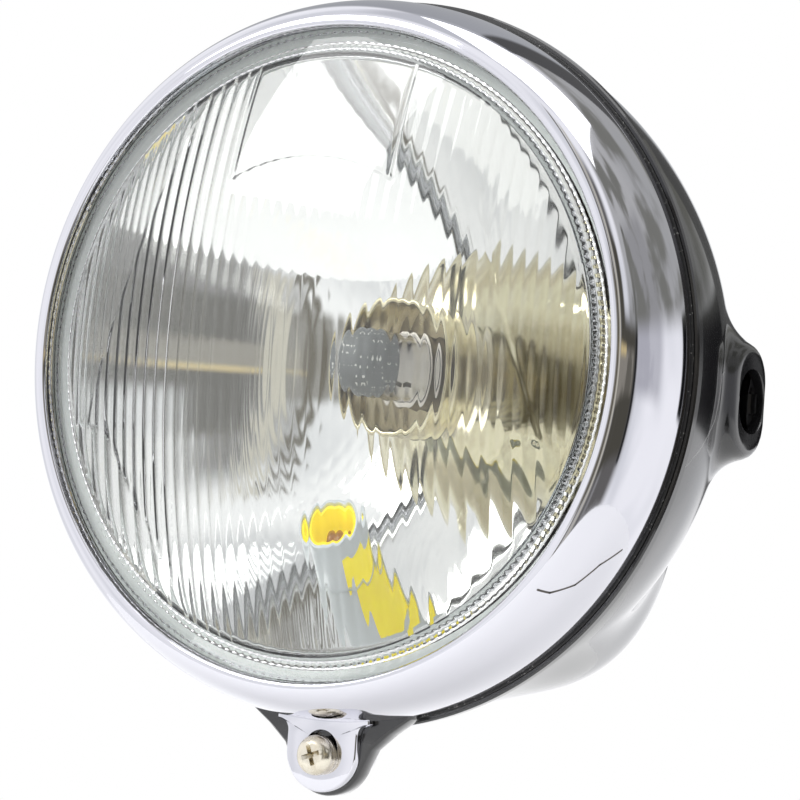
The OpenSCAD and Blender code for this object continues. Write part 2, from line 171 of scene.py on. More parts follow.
class MeshKit:
    """Makes meshes from arrays and joins them to the frame."""

    @staticmethod
    def build(name: str, points: np.ndarray, quads: np.ndarray, angle: float = 35.0) -> bpy.types.Object:
        """Makes a welded, smooth-shaded object from lamp points.

        Args:
            name: name of the piece.
            points: array (n, 3) in lamp millimetres.
            quads: array (m, 4) of point numbers; a repeated corner makes a triangle.
            angle: edges sharper than this stay sharp, in degrees.

        Returns:
            The new object, at the origin, with its place in its mesh.
        """
        mesh = bpy.data.meshes.new(name)
        mesh.from_pydata(SPACE.to_frame(points), [], quads.tolist())
        obj = bpy.data.objects.new(name, mesh)
        bpy.context.scene.collection.objects.link(obj)
        MeshKit.weld(obj, angle)
        return obj

    @staticmethod
    def weld(obj: bpy.types.Object, angle: float, gap: float = 1e-7, outward: bool = True) -> None:
        """Merges doubled points, turns the faces outwards and shades them smooth.

        Args:
            obj: the piece.
            angle: edges sharper than this stay sharp, in degrees.
            gap: points closer than this are merged, in metres.
            outward: recalculates the normals.
        """
        work = bmesh.new()
        work.from_mesh(obj.data)
        bmesh.ops.remove_doubles(work, verts=work.verts, dist=gap)
        bmesh.ops.dissolve_degenerate(work, edges=work.edges, dist=gap)
        if outward:
            bmesh.ops.recalc_face_normals(work, faces=work.faces)
        work.to_mesh(obj.data)
        work.free()
        obj.data.polygons.foreach_set("use_smooth", np.ones(len(obj.data.polygons), bool))
        obj.data.set_sharp_from_angle(angle=math.radians(angle))

    @staticmethod
    def join(name: str, parts: list[bpy.types.Object]) -> bpy.types.Object:
        """Joins pieces of one body into one object.

        Args:
            name: name of the joined piece.
            parts: objects at the origin.

        Returns:
            The joined object.
        """
        bpy.ops.object.select_all(action="DESELECT")
        for part in parts:
            part.select_set(True)
        bpy.context.view_layer.objects.active = parts[0]
        bpy.ops.object.join()
        parts[0].name = name
        parts[0].data.name = name
        return parts[0]

    @staticmethod
    def loft(name: str, outline: np.ndarray, centre: tuple[float, float],
             layers: list[tuple[float, float]]) -> bpy.types.Object:
        """Makes a closed plate from one outline, drawn in towards a centre at each depth.

        A point of a layer is centre + (p - centre) * (1 - inset / |p - centre|).

        Args:
            name: name of the plate.
            outline: array (n, 2) of x and z.
            centre: x and z that the outline draws in to, and where both ends close.
            layers: depth and inset of each layer.

        Returns:
            The plate.
        """
        edge = outline - np.array(centre)
        away = np.linalg.norm(edge, axis=1)[:, None]
        n, m = len(outline), len(layers)
        rings = []
        for depth, inset in layers:
            flat = np.array(centre) + edge * (1 - inset / away)
            rings.append(np.c_[flat[:, 0], np.full(n, depth), flat[:, 1]])
        ends = np.array([[centre[0], layers[row][0], centre[1]] for row in (0, -1)])
        ring = np.arange(n)
        fans = [np.stack([row * n + ring, row * n + np.roll(ring, -1), np.full(n, m * n + k),
                          np.full(n, m * n + k)], axis=1) for k, row in enumerate((0, m - 1))]
        return MeshKit.build(name, np.concatenate([*rings, ends]),
                             np.concatenate([grid_quads(m, n, wrap_cols=True), *fans]))

    @staticmethod
    def carve(obj: bpy.types.Object, cutters: list[bpy.types.Object], angle: float = 35.0) -> None:
        """Cuts closed shapes out of a closed piece and removes the cutters.

        Args:
            obj: the piece.
            cutters: closed shapes, removed afterwards.
            angle: edges sharper than this stay sharp, in degrees.
        """
        for cutter in cutters:
            cut = obj.modifiers.new("cut", "BOOLEAN")
            cut.operation = "DIFFERENCE"
            cut.solver = "EXACT"
            cut.object = cutter
            bpy.context.view_layer.objects.active = obj
            bpy.ops.object.modifier_apply(modifier=cut.name)
            bpy.data.objects.remove(cutter)
        MeshKit.weld(obj, angle, outward=False)

    @staticmethod
    def attach(obj: bpy.types.Object, slot: str, material: bpy.types.Material, *nodes: str) -> None:
        """Dresses a piece, puts it on the lamp's body and lets it stand for CAD nodes.

        Args:
            obj: the piece.
            slot: not used.
            material: its finish.
            nodes: CAD nodes that it replaces.
        """
        obj.data.materials.clear()
        obj.data.materials.append(material)
        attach(obj, "root")
        if nodes:
            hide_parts(*nodes)
        LOG.info("piece %s: %d faces, stands for %s", obj.name, len(obj.data.polygons), nodes or "detail")


@dataclass(frozen=True)
class Axis:
    """A line to turn shapes about: by default the lamp's own axis, pointing rearwards."""

    origin: tuple[float, float, float] = (0.0, 0.0, 0.0)
    direction: tuple[float, float, float] = (0.0, 1.0, 0.0)

    def turn(self, profile: np.ndarray, steps: int = 128,
             closed: bool = True) -> tuple[np.ndarray, np.ndarray]:
        """Turns a section about the axis.

        A point at distance r and height h comes to origin + h * axis + r * (cos a * u + sin a * w).

        Args:
            profile: array (n, 2) of distance from the axis and height along it.
            steps: segments round the axis.
            closed: the section is a closed outline.

        Returns:
            Points (m, 3) and quads (k, 4).
        """
        along = np.array(self.direction, float)
        along /= np.linalg.norm(along)
        helper = np.array([0.0, 0.0, 1.0]) if abs(along[2]) < 0.9 else np.array([1.0, 0.0, 0.0])
        u = np.cross(helper, along)
        u /= np.linalg.norm(u)
        w = np.cross(along, u)
        turn = np.linspace(0.0, 2 * math.pi, steps, endpoint=False)
        ring = np.cos(turn)[:, None] * u + np.sin(turn)[:, None] * w
        points = np.array(self.origin) + profile[None, :, 1, None] * along
        points = points + profile[None, :, 0, None] * ring[:, None, :]
        quads = grid_quads(steps, len(profile), wrap_rows=True, wrap_cols=closed)
        return points.reshape(-1, 3), quads

    def solid(self, name: str, profile: np.ndarray, steps: int = 128,
              angle: float = 35.0) -> bpy.types.Object:
        """A turned piece from a closed section."""
        return MeshKit.build(name, *self.turn(profile, steps), angle)

    def drill(self, radius: float, low: float, high: float, steps: int = 64) -> bpy.types.Object:
        """A cylinder to cut a hole with, between two heights."""
        section = [[CUT_POLE_R, low], [radius, low], [radius, high], [CUT_POLE_R, high]]
        return self.solid("cut", np.array(section), steps)


LAMP_AXIS = Axis()


class Shading:
    """Small helpers for node trees."""

    def __init__(self, tree: bpy.types.NodeTree) -> None:
        """Keeps the tree that the helpers add to."""
        self.tree = tree

    def add(self, kind: str, **values: object) -> bpy.types.Node:
        """Adds a node.

        Args:
            kind: the node's type.
            values: properties of the node or, by socket name, unlinked inputs or links.

        Returns:
            The node.
        """
        node = self.tree.nodes.new(kind)
        for key, value in values.items():
            if hasattr(node, key):
                setattr(node, key, value)
            else:
                self.feed(node.inputs[key.replace("_", " ")], value)
        return node

    def feed(self, socket: bpy.types.NodeSocket, value: object) -> None:
        """Links a socket to another's output, or sets its own value.

        Args:
            socket: the input.
            value: an output socket, a number, a colour or a vector.
        """
        if isinstance(value, bpy.types.NodeSocket):
            self.tree.links.new(value, socket)
        else:
            socket.default_value = value

    def step(self, kind: str, operation: str, a: object, b: object, **values: object) -> bpy.types.Node:
        """Adds a node that works on two inputs.

        Args:
            kind: the node's type.
            operation: what it does.
            a: first input.
            b: second input.
            values: more properties of the node.

        Returns:
            The node.
        """
        node = self.add(kind, operation=operation, **values)
        self.feed(node.inputs[0], a)
        self.feed(node.inputs[1], b)
        return node

    def math(self, operation: str, a: object, b: object = 0.0, clamp: bool = False) -> bpy.types.NodeSocket:
        """One arithmetic step on two numbers."""
        return self.step("ShaderNodeMath", operation, a, b, use_clamp=clamp).outputs[0]

    def vector(self, operation: str, a: object, b: object = (0.0, 0.0, 0.0),
               out: str = "Vector") -> bpy.types.NodeSocket:
        """One step on two vectors."""
        return self.step("ShaderNodeVectorMath", operation, a, b).outputs[out]

    def ramp(self, value: object, low: object, high: object, first: float = 0.0,
             last: float = 1.0) -> bpy.types.NodeSocket:
        """Smooth rise of a number.

        Args:
            value: the number.
            low: where the rise begins.
            high: where it ends.
            first: result at low.
            last: result at high.

        Returns:
            The result's socket.
        """
        node = self.add("ShaderNodeMapRange", interpolation_type="SMOOTHSTEP")
        for socket, given in zip(node.inputs, (value, low, high, first, last)):
            self.feed(socket, given)
        return node.outputs[0]

    def window(self, value: object, low: float, high: float, soft: float) -> bpy.types.NodeSocket:
        """One between low and high, falling to nought over a soft edge at each end."""
        return self.math("MULTIPLY", self.ramp(value, low - soft, low + soft),
                         self.ramp(value, high - soft, high + soft, 1.0, 0.0))

    def mix(self, factor: object, a: object, b: object) -> bpy.types.NodeSocket:
        """Blend of two colours.

        Args:
            factor: share of the second.
            a: first colour.
            b: second colour.

        Returns:
            The blend's socket.
        """
        node = self.add("ShaderNodeMix", data_type="RGBA")
        for number, given in ((0, factor), (6, a), (7, b)):
            self.feed(node.inputs[number], given)
        return node.outputs[2]

    def noise(self, vector: object, scale: float, detail: float = 2.0) -> bpy.types.NodeSocket:
        """Fractal noise, about 0.5."""
        return self.add("ShaderNodeTexNoise", Vector=vector, Scale=scale, Detail=detail).outputs["Fac"]


class Effects:
    """Node groups that several finishes share."""

    @staticmethod
    def _group(name: str, inputs: dict[str, tuple[str, object]],
               outputs: dict[str, str]) -> tuple[bpy.types.NodeTree, bpy.types.Node, bpy.types.Node]:
        """Makes an empty group with named sockets.

        Args:
            name: the group's name.
            inputs: type and default of each input.
            outputs: type of each output.

        Returns:
            The group, its input node and its output node.
        """
        tree = bpy.data.node_groups.new(name, "ShaderNodeTree")
        for key, (kind, value) in inputs.items():
            tree.interface.new_socket(key, in_out="INPUT", socket_type=kind).default_value = value
        for key, kind in outputs.items():
            tree.interface.new_socket(key, in_out="OUTPUT", socket_type=kind)
        return tree, tree.nodes.new("NodeGroupInput"), tree.nodes.new("NodeGroupOutput")

    @staticmethod
    def hairline() -> bpy.types.NodeTree:
        """Mask of a thin scratch along a straight run between two places.

        The distance to the run is |p - a - t (b - a)|, with t the clamped share of p along it.

        Returns:
            The group.
        """
        tree, gin, gout = Effects._group(
            "Hairline",
            {"Position": ("NodeSocketVector", (0, 0, 0)), "Start": ("NodeSocketVector", (0, 0, 0)),
             "End": ("NodeSocketVector", (0, 0, 1)), "Width": ("NodeSocketFloat", 0.0003)},
            {"Mask": "NodeSocketFloat"})
        s = Shading(tree)
        along = s.vector("SUBTRACT", gin.outputs["End"], gin.outputs["Start"])
        reach = s.vector("SUBTRACT", gin.outputs["Position"], gin.outputs["Start"])
        share = s.math("DIVIDE", s.vector("DOT_PRODUCT", reach, along, "Value"),
                       s.vector("DOT_PRODUCT", along, along, "Value"), clamp=True)
        scaled = s.add("ShaderNodeVectorMath", operation="SCALE")
        s.feed(scaled.inputs[0], along)
        s.feed(scaled.inputs["Scale"], share)
        away = s.vector("LENGTH", s.vector("SUBTRACT", reach, scaled.outputs[0]), out="Value")
        mask = s.ramp(away, s.math("MULTIPLY", gin.outputs["Width"], 0.5), gin.outputs["Width"], 1.0, 0.0)
        s.feed(gout.inputs["Mask"], mask)
        return tree

    @staticmethod
    def grime() -> bpy.types.NodeTree:
        """Cloudy film and fine specks: a cloud mask, a speck mask and a small height.

        Returns:
            The group.
        """
        cloud_low, cloud_high = 0.35, 0.68
        speck_top, speck_reach, speck_soft = 0.78, 0.4, 0.05
        tree, gin, gout = Effects._group(
            "Grime",
            {"Position": ("NodeSocketVector", (0, 0, 0)), "Cloud Scale": ("NodeSocketFloat", 40.0),
             "Speck Scale": ("NodeSocketFloat", 900.0), "Speck Share": ("NodeSocketFloat", 0.1)},
            {"Cloud": "NodeSocketFloat", "Specks": "NodeSocketFloat", "Height": "NodeSocketFloat"})
        s = Shading(tree)
        cloud = s.noise(gin.outputs["Position"], 1.0, 4.0)
        s.feed(tree.nodes[-1].inputs["Scale"], gin.outputs["Cloud Scale"])
        s.feed(gout.inputs["Cloud"], s.ramp(cloud, cloud_low, cloud_high))
        fine = s.noise(gin.outputs["Position"], 1.0, 1.0)
        s.feed(tree.nodes[-1].inputs["Scale"], gin.outputs["Speck Scale"])
        edge = s.math("SUBTRACT", speck_top, s.math("MULTIPLY", gin.outputs["Speck Share"], speck_reach))
        s.feed(gout.inputs["Specks"], s.ramp(fine, edge, s.math("ADD", edge, speck_soft)))
        s.feed(gout.inputs["Height"], cloud)
        return tree


@dataclass(frozen=True)
class Finish:
    """A plain surface with film, specks and fine scratches over it.

    Lengths are in metres. A scratch is a row of lamp points in millimetres.
    """

    name: str
    colour: tuple[float, float, float]
    rough: float
    metallic: float = 0.0
    coat: float = 0.0
    coat_rough: float = 0.05
    film: tuple[float, float, float] = (0.5, 0.5, 0.5)
    film_share: float = 0.0
    film_rough: float = 0.0
    cloud_scale: float = 40.0
    specks: float = 0.0
    speck_scale: float = 900.0
    speck_colour: tuple[float, float, float] = (0.6, 0.6, 0.58)
    bump: float = 0.0
    scratches: tuple[tuple[tuple[float, float, float], ...], ...] = ()
    scratch_width: float = 0.0004
    scratch_colour: tuple[float, float, float] = (0.5, 0.5, 0.5)
    scratch_rough: float = 0.5
    transmission: float = 0.0
    ior: float = 1.5
    glow: float = 0.0
    shadow_tint: tuple[float, float, float] = (0.92, 0.93, 0.92)

    def material(self, kit: dict[str, bpy.types.NodeTree]) -> bpy.types.Material:
        """Builds the material.

        Args:
            kit: node groups by name.

        Returns:
            The finished material.
        """
        mat = bpy.data.materials.new(self.name)
        mat.use_nodes = True
        tree = mat.node_tree
        tree.nodes.clear()
        s = Shading(tree)
        out = s.add("ShaderNodeOutputMaterial")
        shader = s.add("ShaderNodeBsdfPrincipled")
        put = shader.inputs
        place = s.add("ShaderNodeTexCoord").outputs["Object"]
        grime = s.add("ShaderNodeGroup", node_tree=kit["grime"])
        s.feed(grime.inputs["Position"], place)
        for key, value in (("Cloud Scale", self.cloud_scale), ("Speck Scale", self.speck_scale),
                           ("Speck Share", self.specks)):
            grime.inputs[key].default_value = value
        colour: object = (*self.colour, 1.0)
        rough: object = self.rough
        if self.film_share:
            film = s.math("MULTIPLY", grime.outputs["Cloud"], self.film_share)
            colour = s.mix(film, colour, (*self.film, 1.0))
        if self.film_rough:
            rough = s.math("ADD", s.math("MULTIPLY", grime.outputs["Cloud"], self.film_rough), self.rough)
        if self.specks:
            colour = s.mix(grime.outputs["Specks"], colour, (*self.speck_colour, 1.0))
        for scratch in self.scratches:
            runs = SPACE.to_frame(np.array(scratch))
            for start, end in zip(runs[:-1], runs[1:]):
                line = s.add("ShaderNodeGroup", node_tree=kit["hairline"])
                s.feed(line.inputs["Position"], place)
                line.inputs["Start"].default_value = tuple(start)
                line.inputs["End"].default_value = tuple(end)
                line.inputs["Width"].default_value = self.scratch_width
                colour = s.mix(line.outputs["Mask"], colour, (*self.scratch_colour, 1.0))
                rough = s.math("ADD", s.math("MULTIPLY", line.outputs["Mask"], self.scratch_rough), rough)
        s.feed(put["Base Color"], colour)
        s.feed(put["Roughness"], rough)
        put["Metallic"].default_value = self.metallic
        put["Coat Weight"].default_value = self.coat
        put["Coat Roughness"].default_value = self.coat_rough
        put["Transmission Weight"].default_value = self.transmission
        put["IOR"].default_value = self.ior
        # painted glow where a finish has one: emission in the surface's own colour, on a part that is no lamp
        if self.glow:
            s.feed(put["Emission Color"], colour)
            put["Emission Strength"].default_value = self.glow
        if self.bump:
            bump = s.add("ShaderNodeBump", Strength=1.0, Distance=self.bump)
            s.feed(bump.inputs["Height"], grime.outputs["Height"])
            s.feed(put["Normal"], bump.outputs["Normal"])
        surface = shader.outputs[0]
        if self.transmission:
            clear = s.add("ShaderNodeBsdfTransparent")
            clear.inputs["Color"].default_value = (*self.shadow_tint, 1.0)
            blend = s.add("ShaderNodeMixShader")
            s.feed(blend.inputs[0], s.add("ShaderNodeLightPath").outputs["Is Shadow Ray"])
            s.feed(blend.inputs[1], surface)
            s.feed(blend.inputs[2], clear.outputs[0])
            surface = blend.outputs[0]
        s.feed(out.inputs["Surface"], surface)
        return mat


RIM_SCRATCH = ((65.5, -18.9, -54.1), (67.4, -16.4, -54.6), (71.4, -11.7, -52.3), (75.8, -8.3, -47.2),
               (78.8, -3.3, -43.3))
BOWL_SCRATCH = ((86.2, 5.7, -25.9), (87.6, 17.1, -17.8), (87.8, 24.2, -10.0), (87.9, 26.2, 1.1),
                (87.0, 31.5, 6.0))
FINISHES: dict[str, Finish] = {
    "bowl_black": Finish("Black gloss enamel", (0.011, 0.011, 0.012), 0.16, coat=1.0, coat_rough=0.03,
                         film_rough=0.08, cloud_scale=25.0, scratches=(BOWL_SCRATCH,),
                         scratch_colour=(0.32, 0.32, 0.32)),
    "chrome_rim": Finish("Chrome plate", (0.74, 0.74, 0.79), 0.045, metallic=1.0, film_rough=0.02,
                         scratches=(RIM_SCRATCH,), scratch_colour=(0.12, 0.11, 0.1)),
    "lens_glass": Finish("Moulded lamp glass", (0.97, 0.98, 0.97), 0.0, transmission=1.0, ior=1.5),
    "mirror_coat": Finish("Silvered mirror", (0.9, 0.9, 0.89), 0.03, metallic=1.0, film_rough=0.03),
    "black_rubber": Finish("Black rubber", (0.02, 0.02, 0.02), 0.55, specks=0.3, speck_scale=1400.0,
                           speck_colour=(0.25, 0.25, 0.24), bump=0.0002),
    "pale_rubber": Finish("Pale silicone rubber", (0.84, 0.88, 0.87), 0.45, film_share=0.3,
                          film=(0.66, 0.7, 0.7)),
    "zinc_steel": Finish("Zinc plated steel", (0.62, 0.62, 0.63), 0.32, metallic=1.0, film_rough=0.15),
    "screw_plate": Finish("Pale nickel plate", (0.83, 0.78, 0.66), 0.2, metallic=1.0, film_rough=0.15,
                          film=(0.45, 0.36, 0.22), film_share=0.35, cloud_scale=300.0),
    "yellow_zinc": Finish("Yellow passivated zinc", (0.82, 0.77, 0.56), 0.06, metallic=1.0, film_share=0.6,
                          film=(0.34, 0.26, 0.11), cloud_scale=90.0, film_rough=0.1),
    "quartz": Finish("Quartz glass", (1.0, 1.0, 1.0), 0.0, transmission=1.0, ior=1.46),
    "nickel": Finish("Nickel plate", (0.66, 0.62, 0.55), 0.25, metallic=1.0, film_rough=0.1),
    "filament": Finish("Tungsten", (0.3, 0.29, 0.28), 0.4, metallic=1.0),
    "plug_plastic": Finish("Black plastic", (0.03, 0.03, 0.032), 0.45, film_rough=0.1),
    "sleeve_grey": Finish("Pale grey sleeve", (0.80, 0.85, 0.87), 0.4, film_rough=0.1),
    # painted glow: the yellow socket gives off light of its own (glow 0.34), though it is no lamp, so that it
    # shows bright inside the reflector
    "socket_yellow": Finish("Yellow socket", (1.0, 0.84, 0.0), 0.4, film_share=0.15, film=(0.8, 0.55, 0.02),
                            cloud_scale=160.0, glow=0.34),
    # painted shade: the small bulb's glass is tinted brown to darken the lower half of the sleeve's opening,
    # where shade falls
    "small_bulb_painted_shade": Finish("Brown glass with painted shade", (0.6, 0.43, 0.13), 0.0, transmission=1.0),
    "bulb_cap": Finish("Grey heat coating", (0.2, 0.21, 0.21), 0.5, specks=0.35, speck_scale=700.0,
                       speck_colour=(0.75, 0.75, 0.72)),
}


class FinishKit:
    """All finishes, built once."""

    def __init__(self) -> None:
        """Builds the shared node groups and every material."""
        groups = {"hairline": Effects.hairline(), "grime": Effects.grime()}
        self.of = {key: finish.material(groups) for key, finish in FINISHES.items()}


@dataclass
class Rim:
    """The chrome ring with its screw tab, in millimetres."""

    kit: FinishKit
    radius: float = 90.0
    front: float = 20.8
    back: float = 4.5
    sheet: float = 0.9
    bead: float = 8.6
    lip_r: float = 80.4
    lip_depth: float = 17.8
    steps: int = 720
    tab_z: float = -97.3
    tab_half: float = 10.0
    tab_flare: float = 3.2
    tab_shoulder_z: float = -92.8
    tab_top_z: float = -86.5
    tab_middle_z: float = -95.0
    hole_z: float = -96.7
    hole_r: float = 4.8

    def section(self) -> np.ndarray:
        """Section of the ring: a quarter ellipse r = R - a + a cos w, depth = f sin w, with a turned-in lip.

        Returns:
            Array (n, 2) of distance from the axis and depth.
        """
        turn = np.radians(np.linspace(-90.0, 0.0, 31))
        out = np.c_[self.radius - self.bead + self.bead * np.cos(turn), self.front * np.sin(turn)]
        a, f = self.bead - self.sheet, self.front - self.sheet
        inside = np.c_[self.radius - self.bead + a * np.cos(turn), f * np.sin(turn)][::-1]
        lip, edge = self.lip_r, self.lip_depth
        lip_curve = np.array([[lip, 0.3 - edge], [lip + 0.05, -edge - 1.0], [lip + 0.15, -edge - 2.0],
                              [lip + 0.35, -self.front + 0.55], [lip + 0.62, -self.front + 0.18]])
        skirt_r = self.radius - 0.3
        skirt = np.array([[self.radius - 0.08, 1.6], [self.radius - 0.22, 3.4], [skirt_r, self.back],
                          [skirt_r - 0.25, self.back + 0.16], [skirt_r - self.sheet, self.back]])
        lip_back = np.array([[lip + 1.0, -edge - 1.3], [lip + 0.9, 0.3 - edge]])
        return np.concatenate([lip_curve, out, skirt, inside, lip_back])

    def tab(self) -> bpy.types.Object:
        """The screw tab: a flat plate with a rounded end, flared corners and a screw hole.

        Returns:
            The plate.
        """
        end = np.radians(np.linspace(180.0, 360.0, 41))
        tip = np.c_[self.tab_half * np.cos(end), self.tab_z + self.tab_half * np.sin(end)]
        corner = np.radians(np.linspace(180.0, 90.0, 9))
        side = self.tab_half + self.tab_flare
        flare = np.c_[side + self.tab_flare * np.cos(corner),
                      self.tab_shoulder_z + self.tab_flare * np.sin(corner)]
        top = np.array([[side, self.tab_top_z], [-side, self.tab_top_z]])
        outline = np.concatenate([tip, flare, top, flare[::-1] * [-1, 1]])
        layers = [(-3.0, 0.45), (-2.9, 0.2), (-2.7, 0.05), (-2.4, 0.0), (-1.0, 0.0), (-0.7, 0.3)]
        plate = MeshKit.loft("tab", outline, (0.0, self.tab_middle_z), layers)
        MeshKit.carve(plate, [Axis((0.0, -6.0, self.hole_z)).drill(self.hole_r, 0.0, 9.0)])
        return plate

    def make(self) -> None:
        """Builds the ring and tab as one piece."""
        ring = LAMP_AXIS.solid("Rim_Ring", self.section(), self.steps, 40.0)
        rim = MeshKit.join("Rim_Ring", [ring, self.tab()])
        MeshKit.attach(rim, "chrome_rim", self.kit.of["chrome_rim"], "rim")


@dataclass
class Lens:
    """The moulded glass: a plain dome outside, flutes and beaded rings inside, in millimetres.

    A border is |x| = x0 + slope (z - z0), given as x0, z0 and slope. A bead row is a row of the ring's
    profile, the beads' height there and how far they lean, in radians.
    """

    kit: FinishKit
    front_r: float = 180.0
    inner_r: float = 176.0
    centre: float = 143.25
    field_r: float = 73.5
    edge_r: float = 82.4
    back: float = -10.0
    half_columns: int = 540
    column_points: int = 88
    beads: int = 216
    flute_pitch: float = 3.6
    fine_pitch: float = 2.88
    coarse_pitch: float = 5.22
    flute_depth: float = 0.085
    left_depth: float = 0.33
    left_end: float = -48.0
    fine_depth: float = 0.12
    coarse_depth: float = 0.28
    wedge_depth: float = 0.35
    wedge_start: float = 36.0
    wedge_run: float = 16.0
    arc_r: float = 47.1
    plain_half: float = 22.0
    plain_share: float = 0.93
    line_depth: float = 0.4
    side_border: tuple[float, float, float] = (52.4, 14.9, -0.336)
    low_border: tuple[float, float, float] = (56.8, -20.0, 0.59)
    bead_rows: tuple[tuple[int, float, float], ...] = (
        (3, 0.3, -0.9), (4, 0.4, 0.0), (5, 0.3, 0.9), (11, 0.22, 0.0), (12, 0.3, 0.0), (13, 0.22, 0.0))

    @staticmethod
    def beyond(x: np.ndarray, z: np.ndarray, border: tuple[float, float, float]) -> np.ndarray:
        """One outside a slanted border, with a soft edge 1 mm wide."""
        return smooth_step(-0.5, 0.5, np.abs(x) - (border[0] + (z - border[1]) * border[2]))

    def pattern(self, x: np.ndarray, z: np.ndarray) -> np.ndarray:
        """Height of the moulded pattern over the inner dome.

        Vertical flutes, 1 - |sin(pi x / pitch)|, fill the field, deeper to the left. The plain zone at
        the top centre has only shallow ones, inside a raised line. Slanted borders divide the side
        zones, with finer flutes above and coarser ones below, which lie on a wedge.

        Args:
            x: places to the right.
            z: places upwards.

        Returns:
            Millimetres rearwards, in the shape of x.
        """
        width, r = np.abs(x), np.hypot(x, z)
        flutes, fine, coarse = (1.0 - np.abs(np.sin(math.pi * x / pitch))
                                for pitch in (self.flute_pitch, self.fine_pitch, self.coarse_pitch))
        depth = self.flute_depth + self.left_depth * smooth_step(0.0, self.left_end, x)
        plain = (smooth_step(self.arc_r - 0.5, self.arc_r + 0.5, r) * smooth_step(-1.0, 1.0, z)
                 * smooth_step(0.4, -0.4, width - self.plain_half))
        split = self.low_border[1]
        side = self.beyond(x, z, self.side_border) * smooth_step(split - 0.5, split + 0.5, z)
        low = self.beyond(x, z, self.low_border) * smooth_step(split + 0.5, split - 0.5, z)
        zone = np.clip(side + low, 0.0, 1.0)
        wedge = zone * self.wedge_depth * smooth_step(0.0, self.wedge_run, width - self.wedge_start)
        arc = np.exp(-(((r - self.arc_r) / 0.45) ** 2)) * smooth_step(2.0, 0.0, width - self.plain_half)
        bars = np.exp(-(((width - self.plain_half) / 0.5) ** 2)) * smooth_step(-1.1, 0.9, r - self.arc_r)
        line = self.line_depth * (arc + bars) * (z > 0)
        body = depth * flutes * (1 - zone) + self.fine_depth * fine * side + self.coarse_depth * coarse * low
        fade = smooth_step(self.field_r, self.field_r - 1.5, r)
        return fade * (body * (1 - self.plain_share * plain) + wedge + line)

    def inner(self, r: np.ndarray) -> np.ndarray:
        """Depth of the plain inner dome at a distance r from the axis."""
        return self.centre - np.sqrt(self.inner_r**2 - r**2)

    def field_mesh(self) -> tuple[np.ndarray, np.ndarray]:
        """Inner field as chords x = R cos a, each running from edge to edge.

        Returns:
            Points (n, 3) and quads (m, 4).
        """
        a = np.linspace(0.0, math.pi, self.half_columns + 1)
        x = self.field_r * np.cos(a)
        half = self.field_r * np.sin(a)
        t = bunched(self.column_points, -1.0, 1.0, [0.62], 0.04, 5.0)
        xx = np.repeat(x[:, None], self.column_points, axis=1)
        zz = half[:, None] * t[None, :]
        depth = self.inner(np.hypot(xx, zz)) + self.pattern(xx, zz)
        points = np.stack([xx, depth, zz], axis=-1).reshape(-1, 3)
        return points, grid_quads(self.half_columns + 1, self.column_points)

    def ring_profile(self) -> np.ndarray:
        """Section from the field's edge over the beaded rings and round the glass edge.

        Returns:
            Array (n, 2) of distance from the axis and depth.
        """
        lip = self.inner(np.array([self.field_r]))[0]
        rows = [(self.field_r, lip), (73.7, lip + 1.2)]
        rows += [(r, self.back - rise) for r, rise in (
            (74.0, 2.6), (74.5, 2.2), (75.1, 2.0), (75.7, 2.2), (76.1, 2.6), (76.4, 2.6), (77.4, 2.6),
            (78.2, 2.6), (78.5, 2.6), (78.9, 2.1), (79.5, 1.8), (80.1, 2.1), (80.5, 1.6), (80.8, 0.0),
            (82.0, 0.0), (82.3, 0.15), (self.edge_r, 0.4))]
        rows += [(self.edge_r, -17.0), (82.1, -17.3), (80.2, -17.3)]
        return np.array(rows)

    def make(self) -> None:
        """Builds the closed glass: ring and dome turned, the fluted field set into them."""
        count = 2 * self.half_columns
        turn = np.linspace(0.0, 2 * math.pi, count, endpoint=False)
        front_r = np.array([80.2, 79.9, *np.linspace(78.0, 6.0, 19), 0.0])
        front = np.c_[front_r, self.centre - np.sqrt(self.front_r**2 - front_r**2)]
        profile = np.concatenate([self.ring_profile(), front])
        lift = np.zeros((count, len(profile)))
        for row, height, lean in self.bead_rows:
            lift[:, row] = height * (0.5 + 0.5 * np.cos(self.beads * turn + lean))
        points = np.stack([profile[None, :, 0] * np.cos(turn)[:, None], profile[None, :, 1] + lift,
                           profile[None, :, 0] * np.sin(turn)[:, None]], axis=-1).reshape(-1, 3)
        quads = grid_quads(count, len(profile), wrap_rows=True)
        field_points, field_quads = self.field_mesh()
        joined = np.concatenate([points, field_points])
        glass = MeshKit.build("Lens_Glass", joined, np.concatenate([quads, field_quads + len(points)]), 60.0)
        MeshKit.attach(glass, "lens_glass", self.kit.of["lens_glass"], "lens")


